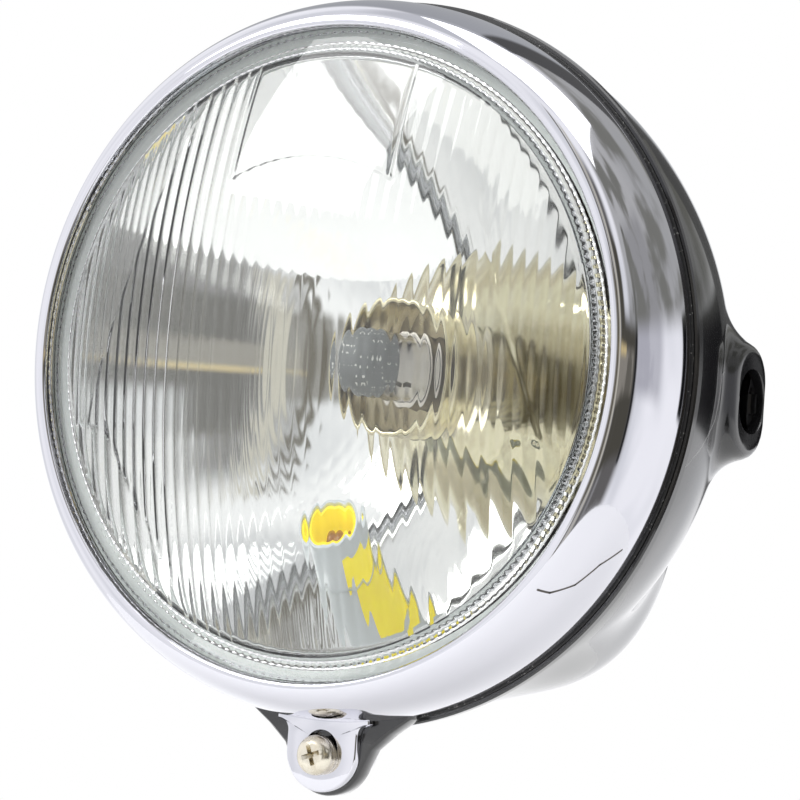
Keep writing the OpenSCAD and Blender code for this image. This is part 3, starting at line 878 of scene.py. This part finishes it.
@dataclass
class Reflector:
    """The pressed mirror, open at the bulb neck and at the position lamp, in millimetres."""

    kit: FinishKit
    focal: float = 30.0
    vertex: float = 37.58
    neck_r: float = 17.4
    neck_length: float = 2.0
    mouth_r: float = 74.6
    flange_front: float = -8.8
    flange_back: float = -4.2
    flange_r: float = 82.2
    sheet: float = 0.9
    hole_r: float = 8.15

    def depth(self, r: np.ndarray) -> np.ndarray:
        """Paraboloid: vertex - r squared / (4 f)."""
        return self.vertex - r**2 / (4 * self.focal)

    def make(self) -> None:
        """Builds the mirror as a shell of even thickness, with the position lamp's hole."""
        r_in = np.linspace(self.neck_r, self.mouth_r, 56)
        inside = np.c_[r_in, self.depth(r_in)]
        inner_edge = self.flange_r - self.sheet
        flange = np.array([[self.flange_r - 0.4, self.flange_front], [self.flange_r, self.flange_front + 0.3],
                           [self.flange_r, self.flange_back], [inner_edge, self.flange_back],
                           [inner_edge, self.flange_front + self.sheet]])
        r_out = np.linspace(self.mouth_r, self.neck_r + self.sheet, 30)
        back = np.c_[r_out, self.depth(r_out) + self.sheet * np.sqrt(1 + (r_out / (2 * self.focal)) ** 2)]
        end = self.vertex + self.neck_length
        neck = np.array([[self.neck_r + self.sheet, end], [self.neck_r, end]])
        mirror = LAMP_AXIS.solid("Reflector_Mirror", np.concatenate([inside, flange, back, neck]), 360, 40.0)
        MeshKit.carve(mirror, [PositionLamp.AXIS.drill(self.hole_r, -12.0, 12.0)], 40.0)
        MeshKit.attach(mirror, "mirror_coat", self.kit.of["mirror_coat"], "reflector")


@dataclass
class PositionLamp:
    """The small lamp that stands square on the mirror, in millimetres.

    Heights run along its own slanted axis, from the mirror.
    """

    AXIS: ClassVar[Axis] = Axis((-6.067, 15.04, -51.64), (0.0764, -0.7557, 0.6505))
    kit: FinishKit
    sleeve_r: float = 8.0
    sleeve_in: float = 7.2
    bead_r: float = 8.3
    mouth_h: float = 16.8
    foot_h: float = -9.0
    floor_h: float = 4.0
    bulb_h: float = 9.2
    bulb_r: float = 3.6
    bulb_wall: float = 0.3
    window_side: tuple[float, float, float] = (0.97, -0.11, -0.24)
    window_h: tuple[float, float] = (0.5, 11.0)
    window_half: float = 5.4
    window_reach: tuple[float, float] = (1.0, 12.0)

    def window_cutter(self) -> bpy.types.Object:
        """A block that opens the sleeve's lower right side, where the yellow socket shows.

        Its corners are origin + h * axis + w * across + d * out.

        Returns:
            The block.
        """
        along = np.array(self.AXIS.direction)
        along /= np.linalg.norm(along)
        out = np.array(self.window_side) - along * (np.array(self.window_side) @ along)
        out /= np.linalg.norm(out)
        across = np.cross(along, out)
        origin = np.array(self.AXIS.origin)
        points = np.array([origin + h * along + w * across + d * out for h in self.window_h
                           for w in (-self.window_half, self.window_half) for d in self.window_reach])
        faces = np.array([(0, 1, 3, 2), (4, 5, 7, 6), (0, 1, 5, 4), (2, 3, 7, 6), (0, 2, 6, 4), (1, 3, 7, 5)])
        return MeshKit.build("cut", points, faces)

    def make(self) -> None:
        """Builds sleeve, socket and bulb about the slanted axis."""
        outline = [(self.sleeve_in, self.foot_h), (self.sleeve_r, self.foot_h), (self.sleeve_r, 15.7),
                   (self.bead_r, 16.2), (self.bead_r, self.mouth_h), (self.sleeve_in, self.mouth_h)]
        sleeve = self.AXIS.solid("Position_Sleeve", rounded(outline, 0.25, 3), 96)
        MeshKit.carve(sleeve, [self.window_cutter()])
        MeshKit.attach(sleeve, "sleeve_grey", self.kit.of["sleeve_grey"], "position_sleeve")
        cup = [(POLE_R, self.floor_h), (4.9, self.floor_h), (5.5, 4.35), (5.6, 5.0), (5.6, 15.6), (5.85, 16.1),
               (6.6, 16.2), (6.95, 15.9), (7.0, 15.4), (7.0, self.foot_h)]
        foot = [(8.6, self.foot_h), (9.5, -9.5), (9.5, -13.5), (9.0, -14.0), (POLE_R, -14.0)]
        # the socket's finish carries a painted glow of its own
        MeshKit.attach(self.AXIS.solid("Position_Socket", np.array(cup + foot), 96), "socket_yellow",
                       self.kit.of["socket_yellow"], "position_socket")
        ball = np.radians(np.linspace(90.0, -58.0, 22))
        outer, inner = (np.c_[np.maximum(r * np.cos(ball), POLE_R), self.bulb_h + r * np.sin(ball)]
                        for r in (self.bulb_r, self.bulb_r - self.bulb_wall))
        bulb = np.concatenate([outer, [[2.1, 4.3], [1.8, 4.3]], inner[::-1]])
        # the small bulb's brown glass is painted shade in the sleeve's opening
        MeshKit.attach(self.AXIS.solid("Position_Bulb", bulb, 48), "quartz",
                       self.kit.of["small_bulb_painted_shade"], "position_bulb")


@dataclass
class Bulb:
    """The two-filament halogen bulb in its yellow ring, in millimetres."""

    kit: FinishKit
    glass_r: float = 8.5
    tip: float = -2.0
    end: float = 30.0
    wall: float = 1.0
    pinch: float = 4.0
    cap_end: float = 8.6
    cap_skin: float = 0.12
    focus: float = 7.58
    coil_turns: int = 9
    coil_r: float = 0.62
    coil_z: float = -0.6
    wire_r: float = 0.16
    wire_sides: int = 6
    ring_r: float = 17.0
    ring_front: float = 19.2
    roll_r: float = 0.75
    plate_back: float = 40.6

    def coil(self, name: str, start: float, length: float) -> bpy.types.Object:
        """A wire coil: centre line r (cos a, sin a) at depth start + length a / (2 pi n), swept by a circle.

        Args:
            name: name of the coil.
            start: depth of its front end.
            length: its length.

        Returns:
            The coil.
        """
        a = np.linspace(0.0, 2 * math.pi * self.coil_turns, self.coil_turns * 14 + 1)
        b = np.linspace(0.0, 2 * math.pi, self.wire_sides, endpoint=False)
        out = self.coil_r + self.wire_r * np.cos(b)[None, :]
        x = out * np.cos(a)[:, None]
        z = self.coil_z + out * np.sin(a)[:, None]
        y = start + length * (a / a[-1])[:, None] + self.wire_r * np.sin(b)[None, :]
        points = np.stack([x, y, z], axis=-1).reshape(-1, 3)
        ends = [[row + k for k in corners] for row in (0, (len(a) - 1) * self.wire_sides)
                for corners in ((0, 1, 2, 3), (0, 3, 4, 5))]
        quads = grid_quads(len(a), self.wire_sides, wrap_cols=True)
        return MeshKit.build(name, points, np.concatenate([quads, np.array(ends)]))

    def nose(self, radius: float) -> np.ndarray:
        """Section of the glass's round end at a radius about its centre: (r cos a, centre - r sin a).

        Args:
            radius: radius of the round end.

        Returns:
            Array (n, 2) of distance from the axis and depth, from the tip rearwards.
        """
        a = np.radians(np.linspace(90.0, 0.0, 14))
        return np.c_[np.maximum(radius * np.cos(a), POLE_R), self.tip + self.glass_r - radius * np.sin(a)]

    def make(self) -> None:
        """Builds glass, heat coating, filaments and holder ring."""
        inner_r = self.glass_r - self.wall
        foot = np.array([[self.glass_r, self.end], [POLE_R, self.end], [POLE_R, self.end - self.pinch],
                         [inner_r, self.end - self.pinch]])
        glass = np.concatenate([self.nose(self.glass_r), foot, self.nose(inner_r)[::-1]])
        MeshKit.attach(LAMP_AXIS.solid("Bulb_Glass", glass, 96), "quartz", self.kit.of["quartz"], "bulb_glass")
        skin, under = self.glass_r + self.cap_skin, self.glass_r - 0.02
        cap = np.concatenate([self.nose(skin), [[skin, self.cap_end], [under, self.cap_end]],
                              self.nose(under)[::-1]])
        MeshKit.attach(LAMP_AXIS.solid("Bulb_Heat_Coating", cap, 96), "nickel", self.kit.of["bulb_cap"])
        coils = [self.coil("coil_front", self.focus - 2.5, 5.5), self.coil("coil_back", self.focus + 7.0, 4.5)]
        MeshKit.attach(MeshKit.join("Bulb_Filaments", coils), "filament", self.kit.of["filament"],
                       "bulb_filaments")
        lip = np.radians(np.linspace(240.0, -60.0, 21))
        rolled = np.c_[self.ring_r + self.roll_r * np.cos(lip), self.ring_front - self.roll_r * np.sin(lip)]
        plate = [(17.3, 20.4), (17.3, 39.3), (17.6, 39.7), (24.0, 39.7), (24.0, self.plate_back)]
        ring = np.concatenate([[(16.3, self.plate_back), (16.3, 20.2)], rolled, plate])
        MeshKit.attach(LAMP_AXIS.solid("Bulb_Holder", ring, 160), "yellow_zinc",
                       self.kit.of["yellow_zinc"], "bulb_holder")


@dataclass
class Bowl:
    """The black housing: a dome with a barrel chin, side bosses, a cable outlet and the screw lug."""

    kit: FinishKit
    dome_r: float = 90.0
    dome_depth: float = 7.0
    front: float = 8.0
    wall: float = 2.5
    rows: int = 150
    columns: int = 440
    star: tuple[float, float, float] = (0.0, 40.5, -4.0)
    chin_depth: float = 41.0
    chin_z: float = -28.5
    chin_r: float = 50.0
    chin_half: float = 56.0
    chin_round: float = 22.0
    boss_depth: float = 40.5
    boss_z: float = -4.0
    boss_r: float = 10.0
    boss_flat: float = 4.5
    boss_face: float = 89.6
    boss_root: float = 30.0
    outlet_r: float = 16.0
    outlet_end: float = 97.6
    outlet_bore: float = 12.0
    insert_depth: float = 41.0
    lug_z: float = -98.2

    def field_value(self, p: np.ndarray) -> np.ndarray:
        """Signed distance of the housing's outside, about: the smooth union of its plain shapes.

        The chin is a barrel along X with rounded rims, and a boss a round bar along X that widens
        towards the dome, faster above than below.

        Args:
            p: array (..., 3) of x, depth, z.

        Returns:
            Array (...) that is negative inside.
        """
        x, y, z = np.abs(p[..., 0]), p[..., 1], p[..., 2]
        dome = np.sqrt(x**2 + (y - self.dome_depth) ** 2 + z**2) - self.dome_r
        across = np.hypot(y - self.chin_depth, z - self.chin_z) - (self.chin_r - self.chin_round)
        along = x - (self.chin_half - self.chin_round)
        chin = (np.hypot(np.maximum(across, 0), np.maximum(along, 0)) + np.minimum(np.maximum(across, along), 0)
                - self.chin_round)
        rise = np.maximum(np.abs(z - self.boss_z) - self.boss_flat, 0.0)
        slope = 3.5 + 6.0 * smooth_step(-2.0, 8.0, z)
        spread = self.boss_r + slope * np.clip((87.5 - x) / 17.5, 0.0, 3.0)
        side = np.hypot(y - self.boss_depth, rise) - spread
        boss = smooth_min(-side, self.boss_face - x, 3.0) * -1.0
        boss = np.maximum(boss, self.boss_root - x)
        outlet = np.maximum(np.hypot(x, z) - self.outlet_r, y - self.outlet_end)
        body = smooth_min(smooth_min(dome, chin, 9.0), outlet, 3.0)
        return smooth_min(body, boss, 6.0)

    def surface(self, rows: np.ndarray, turns: np.ndarray, inset: float) -> np.ndarray:
        """Points where rays from the star centre leave the housing.

        A ray aims at the dome's point at polar angle row and turn; bisection finds where the field,
        plus the inset, is zero.

        Args:
            rows: polar angles about the lamp's axis.
            turns: angles round it.
            inset: how far inside the outer surface.

        Returns:
            Array (rows, turns, 3) of lamp points.
        """
        nearest, farthest, halvings = 20.0, 150.0, 26
        star = np.array(self.star)
        polar, turn = np.meshgrid(rows, turns, indexing="ij")
        aim = np.stack([self.dome_r * np.sin(polar) * np.cos(turn),
                        self.dome_depth + self.dome_r * np.cos(polar),
                        self.dome_r * np.sin(polar) * np.sin(turn)], axis=-1) - star
        aim /= np.linalg.norm(aim, axis=-1, keepdims=True)
        low, high = np.full(polar.shape, nearest), np.full(polar.shape, farthest)
        for _ in range(halvings):
            middle = (low + high) / 2
            inside = self.field_value(star + aim * middle[..., None]) + inset < 0
            low, high = np.where(inside, middle, low), np.where(inside, high, middle)
        return star + aim * ((low + high) / 2)[..., None]

    def lug(self) -> bpy.types.Object:
        """The webs behind the rim's tab: an outline lofted in depth, with the screw's passage.

        Returns:
            The lug.
        """
        end = np.radians(np.linspace(200.0, 340.0, 29))
        foot = np.c_[10.6 * np.cos(end), -97.6 + 10.6 * np.sin(end)]
        left = np.array([[-24.0, -84.0], [-23.0, -87.6], [-17.5, -91.6], [-12.5, -96.0]])
        layers = [(-0.4, 0.9), (0.0, 0.3), (0.6, 0.0), (4.6, 0.0), (6.5, 0.9), (9.5, 2.6), (12.4, 4.0),
                  (13.0, 4.8)]
        lug = MeshKit.loft("lug", np.concatenate([left, foot, left[::-1] * [-1, 1]]), (0.0, -90.0), layers)
        passage = np.array([[CUT_POLE_R, -5.0], [2.8, -5.0], [2.8, 9.0], [4.2, 9.0], [4.2, 30.0],
                            [CUT_POLE_R, 30.0]])
        MeshKit.carve(lug, [Axis((0.0, 0.0, self.lug_z)).solid("cut", passage, 48)])
        return lug

    def make(self) -> None:
        """Builds the closed housing, cuts its recesses and holes, and joins the lug."""
        front = math.acos((self.front - self.dome_depth) / self.dome_r)
        turns = bunched(self.columns + 1, -0.5 * math.pi, 1.5 * math.pi, [0.0, math.pi], 0.3, 1.4)[:-1]
        rows = bunched(self.rows, 0.0, front, [math.radians(68.0), 0.17], 0.2, 1.2)
        outer = self.surface(rows, turns, 0.0)
        ring = np.stack([np.cos(turns), 0 * turns, np.sin(turns)], axis=-1)
        flange = [ring * r + np.array([0.0, d, 0.0]) for r, d in (
            (91.0, 8.0), (91.4, 7.6), (91.4, 5.6), (91.0, 5.2), (83.4, 5.2), (83.0, 5.6), (83.0, 7.7),
            (86.6, 7.8))]
        inner = self.surface(np.linspace(front - 0.03, 0.0, 40), turns, self.wall)
        points = np.concatenate([outer.reshape(-1, 3), *flange, inner.reshape(-1, 3)])
        quads = grid_quads(len(points) // self.columns, self.columns, wrap_cols=True)
        housing = MeshKit.build("Bowl_Housing", points, quads)
        cutters = [Axis((0.0, 80.0, 0.0)).drill(self.outlet_bore, 0.0, 30.0, 96)]
        section = np.array([[CUT_POLE_R, 50.0], [6.0, 50.0], [6.0, 83.6], [7.6, 83.6], [7.8, 83.8], [7.8, 89.0],
                            [8.35, 90.4], [8.35, 99.0], [CUT_POLE_R, 99.0]])
        for side in Side:
            axis = Axis((0.0, self.insert_depth, self.boss_z), (side.value, 0.0, 0.0))
            cutters.append(axis.solid("cut", section, 96))
        MeshKit.carve(housing, cutters)
        MeshKit.attach(MeshKit.join("Bowl_Housing", [housing, self.lug()]), "bowl_black",
                       self.kit.of["bowl_black"], "bowl")


@dataclass
class Fasteners:
    """The rim's screw and its washer, in millimetres."""

    kit: FinishKit
    z: float = -98.2
    head_r: float = 5.0
    head_front: float = -7.8
    head_base: float = -4.4
    shank_r: float = 2.45
    shank_end: float = 12.5
    cross_turn: float = 20.0
    cross_reach: float = 3.5
    cross_half: float = 0.72
    cross_tip: float = 0.5
    cross_floor: float = 0.3
    cross_depth: float = 2.4
    cross_over: float = 1.0

    def cross_cutter(self, turn: float) -> bpy.types.Object:
        """A tapered bar that cuts one arm pair of the cross recess.

        Args:
            turn: its turn about the screw's axis, in radians.

        Returns:
            The bar.
        """
        front, back = self.head_front - self.cross_over, self.head_front + self.cross_depth
        wide, tall, tip, floor = self.cross_reach, self.cross_half, self.cross_tip, self.cross_floor
        bar = np.array([(-wide, front, -tall), (wide, front, -tall), (wide, front, tall), (-wide, front, tall),
                        (-tip, back, -floor), (tip, back, -floor), (tip, back, floor), (-tip, back, floor)])
        spun = np.c_[bar[:, 0] * math.cos(turn) - bar[:, 2] * math.sin(turn), bar[:, 1],
                     bar[:, 0] * math.sin(turn) + bar[:, 2] * math.cos(turn) + self.z]
        faces = np.array([(0, 1, 2, 3), (4, 5, 6, 7), (0, 1, 5, 4), (1, 2, 6, 5), (2, 3, 7, 6), (3, 0, 4, 7)])
        return MeshKit.build("cut", spun, faces)

    def make(self) -> None:
        """Builds the pan-head screw with its cross recess, and the washer."""
        axis = Axis((0.0, 0.0, self.z))
        front, base = self.head_front, self.head_base
        head = [(POLE_R, front), (2.6, front + 0.05), (3.7, front + 0.4), (4.5, front + 1.1),
                (4.9, front + 1.9), (self.head_r, base - 0.4), (self.head_r - 0.15, base)]
        shank = [(self.shank_r, base), (self.shank_r, 11.6), (1.8, self.shank_end), (POLE_R, self.shank_end)]
        screw = axis.solid("Rim_Screw", np.array(head + shank), 96)
        MeshKit.carve(screw, [self.cross_cutter(math.radians(self.cross_turn + 90.0 * k)) for k in range(2)])
        MeshKit.attach(screw, "screw_plate", self.kit.of["screw_plate"], "rim_screw")
        washer = rounded([(2.65, -4.35), (4.9, -4.35), (4.9, -3.05), (2.65, -3.05)], 0.25, 3)
        MeshKit.attach(axis.solid("Screw_Washer", washer, 72), "screw_plate",
                       self.kit.of["screw_plate"], "screw_washer")


@dataclass
class SmallParts:
    """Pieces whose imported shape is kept, welded and with softened edges."""

    kit: FinishKit
    soft_edge: float = 0.25
    weld_gap: float = 2e-6
    bevel_over: float = 40.0
    finishes: dict[str, str] = field(default_factory=lambda: {
        "side_insert_right": "zinc_steel", "side_insert_left": "zinc_steel", "wire_grommet": "black_rubber",
        "rim_hook": "zinc_steel", "rim_seal": "black_rubber", "rim_nut": "zinc_steel",
        "lens_seal": "pale_rubber", "unit_clip_1": "zinc_steel", "unit_clip_2": "zinc_steel",
        "unit_clip_3": "zinc_steel", "unit_clip_4": "zinc_steel", "bulb_base": "nickel",
        "bulb_shield": "nickel", "bulb_terminals": "yellow_zinc", "bulb_clip": "zinc_steel",
        "dust_boot": "black_rubber", "bulb_connector": "plug_plastic", "position_contacts": "yellow_zinc"})

    def make(self) -> None:
        """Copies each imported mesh, merges it and rounds its edges."""
        for node, finish in self.finishes.items():
            source = NODES[node]
            mesh = source.data.copy()
            mesh.transform(source.matrix_world)
            piece = bpy.data.objects.new(node.title(), mesh)
            bpy.context.scene.collection.objects.link(piece)
            MeshKit.weld(piece, 35.0, self.weld_gap, outward=False)
            bevel = piece.modifiers.new("soft edges", "BEVEL")
            bevel.width = self.soft_edge * MM
            bevel.segments = 2
            bevel.limit_method = "ANGLE"
            bevel.angle_limit = math.radians(self.bevel_over)
            bevel.use_clamp_overlap = True
            MeshKit.attach(piece, finish, self.kit.of[finish], node)


@dataclass(frozen=True)
class Patch:
    """A part of the room by bearing (degrees from the front, rightwards) and by sine of elevation.

    Its edges are soft by an angle in radians, and a mottled patch lets the room show through.
    """

    bearing: tuple[float, float]
    height: tuple[float, float]
    colour: tuple[float, float, float]
    soft: float = 0.08
    mottled: float = 0.0


PATCHES = (
    Patch((24.0, 34.0), (-0.50, 0.66), (0.24, 0.235, 0.23), 0.12),
    Patch((33.0, 50.0), (-0.56, 0.72), (0.15, 0.145, 0.14), 0.14),
    Patch((48.0, 90.0), (-0.56, 0.24), (0.15, 0.145, 0.14), 0.14),
    Patch((10.0, 34.0), (-0.31, 0.31), (0.27, 0.26, 0.235), 0.08),
    Patch((37.0, 53.0), (-0.32, 0.50), (0.085, 0.08, 0.065), 0.07),
    Patch((50.0, 86.0), (-0.32, 0.22), (0.085, 0.08, 0.065), 0.07),
    Patch((12.0, 82.0), (-0.06, 0.12), (0.30, 0.28, 0.24), 0.05, 0.7),
    Patch((20.0, 60.0), (0.10, 0.13), (0.80, 0.64, 0.32), 0.04, 0.9),
    Patch((28.0, 34.0), (-0.50, 0.80), (0.62, 0.59, 0.50), 0.03),
    Patch((18.0, 23.0), (-0.55, 0.80), (0.10, 0.085, 0.05), 0.03),
    Patch((90.0, 128.0), (-0.05, 0.60), (0.52, 0.52, 0.56), 0.08, 0.2),
    Patch((85.0, 90.0), (-0.35, 0.60), (0.02, 0.02, 0.02), 0.03),
    Patch((152.0, 185.0), (-0.05, 0.22), (0.006, 0.006, 0.007), 0.03),
    Patch((70.0, 185.0), (0.22, 0.86), (0.22, 0.22, 0.20), 0.10, 0.35),
    Patch((-200.0, 200.0), (0.90, 1.2), (0.66, 0.67, 0.70), 0.06),
    Patch((-200.0, -130.0), (0.25, 0.93), (0.42, 0.43, 0.45), 0.10),
    Patch((-185.0, -165.0), (-0.05, 0.9), (0.10, 0.10, 0.10), 0.03),
)


@dataclass
class Studio:
    """A light room with dark patches, a floor, soft boxes and the camera."""

    azimuth: float = 31.2
    elevation: float = -4.2
    roll: float = 4.2
    distance: float = 0.81
    lens: float = 146.2
    sensor: float = 36.0
    near: float = 0.05
    shift: tuple[float, float] = (0.0555, -0.05025)
    floor_z: float = -0.16
    floor_r: float = 0.3
    room_r: float = 2400.0
    room_white: tuple[float, float, float] = (1.1, 1.1, 1.12)
    room_grey: tuple[float, float, float] = (0.84, 0.85, 0.88)
    middle: tuple[float, float, float] = (0.0, 41.0, -4.0)
    world_light: float = 0.55
    floor_glow: tuple[float, float] = (0.12, 0.32)
    lights: tuple[tuple[str, tuple[float, float, float], float, float], ...] = (
        ("Key", (-0.9, -1.2, 1.2), 0.9, 11.0), ("Top", (0.3, 0.1, 1.5), 1.2, 8.0))

    def world(self) -> None:
        """White for the camera and for rays through glass or off a mirror, lower as a light."""
        world = bpy.data.worlds.new("World")
        bpy.context.scene.world = world
        world.use_nodes = True
        tree = world.node_tree
        tree.nodes.clear()
        s = Shading(tree)
        path = s.add("ShaderNodeLightPath").outputs
        seen = s.math("ADD", s.math("ADD", path["Is Camera Ray"], path["Is Glossy Ray"]),
                      path["Is Transmission Ray"], clamp=True)
        shade = s.add("ShaderNodeBackground")
        s.feed(shade.inputs["Color"], (1.0, 1.0, 1.0, 1.0))
        s.feed(shade.inputs["Strength"], s.ramp(seen, 0.0, 1.0, self.world_light, 1.0))
        s.feed(s.add("ShaderNodeOutputWorld").inputs["Surface"], shade.outputs[0])

    def room(self) -> None:
        """A sphere round the lamp whose glow follows direction: a light room with dark patches."""
        turn = np.radians(np.linspace(90.0, -90.0, 60))
        profile = np.c_[np.maximum(self.room_r * np.cos(turn), POLE_R), self.room_r * np.sin(turn)]
        points, quads = Axis(self.middle, (0.0, 0.0, 1.0)).turn(profile, 96, closed=False)
        dome = MeshKit.build("Stage_Room", points, quads)
        mat = bpy.data.materials.new("Stage room glow")
        mat.use_nodes = True
        tree = mat.node_tree
        tree.nodes.clear()
        s = Shading(tree)
        way = s.vector("NORMALIZE", s.add("ShaderNodeTexCoord").outputs["Object"])
        axes = s.add("ShaderNodeSeparateXYZ", Vector=way).outputs
        bearing = s.math("ARCTAN2", axes["X"], s.math("MULTIPLY", axes["Y"], -1.0))
        mottle = s.ramp(s.noise(way, 3.5, 3.0), 0.4, 0.62)
        broad = s.ramp(s.noise(way, 1.6, 2.0), 0.35, 0.65)
        colour: object = s.mix(broad, (*self.room_white, 1.0), (*self.room_grey, 1.0))
        for patch in PATCHES:
            mask = s.math("MULTIPLY", s.window(bearing, *map(math.radians, patch.bearing), patch.soft),
                          s.window(axes["Z"], *patch.height, patch.soft * 0.6))
            if patch.mottled:
                mask = s.math("MULTIPLY", mask, s.ramp(mottle, 0.0, 1.0, 1.0 - patch.mottled, 1.0))
            colour = s.mix(mask, colour, (*patch.colour, 1.0))
        glow = s.add("ShaderNodeEmission")
        s.feed(glow.inputs["Color"], colour)
        s.feed(s.add("ShaderNodeOutputMaterial").inputs["Surface"], glow.outputs[0])
        dome.data.materials.append(mat)
        dome.visible_camera = False
        dome.visible_shadow = False

    def floor(self) -> None:
        """A white disc below the lamp, a little brighter in glass and metal than as seen."""
        profile = np.array([[POLE_R, 0.0], [0.5 * self.floor_r / MM, 0.0], [self.floor_r / MM, 0.0]])
        x, y, z = self.middle
        axis = Axis((x, y, z + self.floor_z / MM), (0.0, 0.0, 1.0))
        points, quads = axis.turn(profile, 96, closed=False)
        floor = MeshKit.build("Stage_Floor", points, quads)
        mat = bpy.data.materials.new("Stage floor white")
        mat.use_nodes = True
        shader = mat.node_tree.nodes["Principled BSDF"].inputs
        shader["Base Color"].default_value = (0.8, 0.8, 0.8, 1.0)
        shader["Roughness"].default_value = 0.9
        shader["Emission Color"].default_value = (1.0, 1.0, 1.0, 1.0)
        s = Shading(mat.node_tree)
        path = s.add("ShaderNodeLightPath").outputs
        seen = s.math("ADD", path["Is Glossy Ray"], path["Is Transmission Ray"], clamp=True)
        s.feed(shader["Emission Strength"], s.ramp(seen, 0.0, 1.0, *self.floor_glow))
        floor.data.materials.append(mat)

    def lamps(self) -> None:
        """Soft boxes in front to the left, and above."""
        for name, place, size, power in self.lights:
            light = bpy.data.lights.new(name, "AREA")
            light.energy = power
            light.size = size
            lamp = bpy.data.objects.new(name, light)
            lamp.location = place
            lamp.rotation_euler = (SPACE.centre() - Vector(place)).to_track_quat("-Z", "Y").to_euler()
            bpy.context.scene.collection.objects.link(lamp)

    def camera(self) -> None:
        """Places the camera on a sphere round the lamp's centre, rolled and shifted."""
        az, el, roll = (math.radians(v) for v in (self.azimuth, self.elevation, self.roll))
        back = Vector((math.sin(az) * math.cos(el), -math.cos(az) * math.cos(el), math.sin(el)))
        right = Vector((math.cos(az), math.sin(az), 0.0))
        up = back.cross(right)
        right, up = (right * math.cos(roll) + up * math.sin(roll),
                     up * math.cos(roll) - right * math.sin(roll))
        data = bpy.data.cameras.new("Camera")
        data.lens = self.lens
        data.sensor_width = self.sensor
        data.shift_x, data.shift_y = self.shift
        data.clip_start = self.near
        camera = bpy.data.objects.new("Camera", data)
        turn = Matrix((right, up, back)).transposed().to_4x4()
        camera.matrix_world = Matrix.Translation(SPACE.centre() + back * self.distance) @ turn
        bpy.context.scene.collection.objects.link(camera)
        bpy.context.scene.camera = camera

    def make(self) -> None:
        """Sets the whole studio."""
        self.world()
        self.room()
        self.floor()
        self.lamps()
        self.camera()
        bpy.context.scene.view_settings.view_transform = "Standard"


def main() -> None:
    logging.basicConfig(level=logging.INFO)
    kit = FinishKit()
    for assembly in (Rim(kit), Lens(kit), Reflector(kit), PositionLamp(kit), Bulb(kit), Bowl(kit),
                     Fasteners(kit), SmallParts(kit)):
        assembly.make()
    Studio().make()


if __name__ == "__main__":
    main()
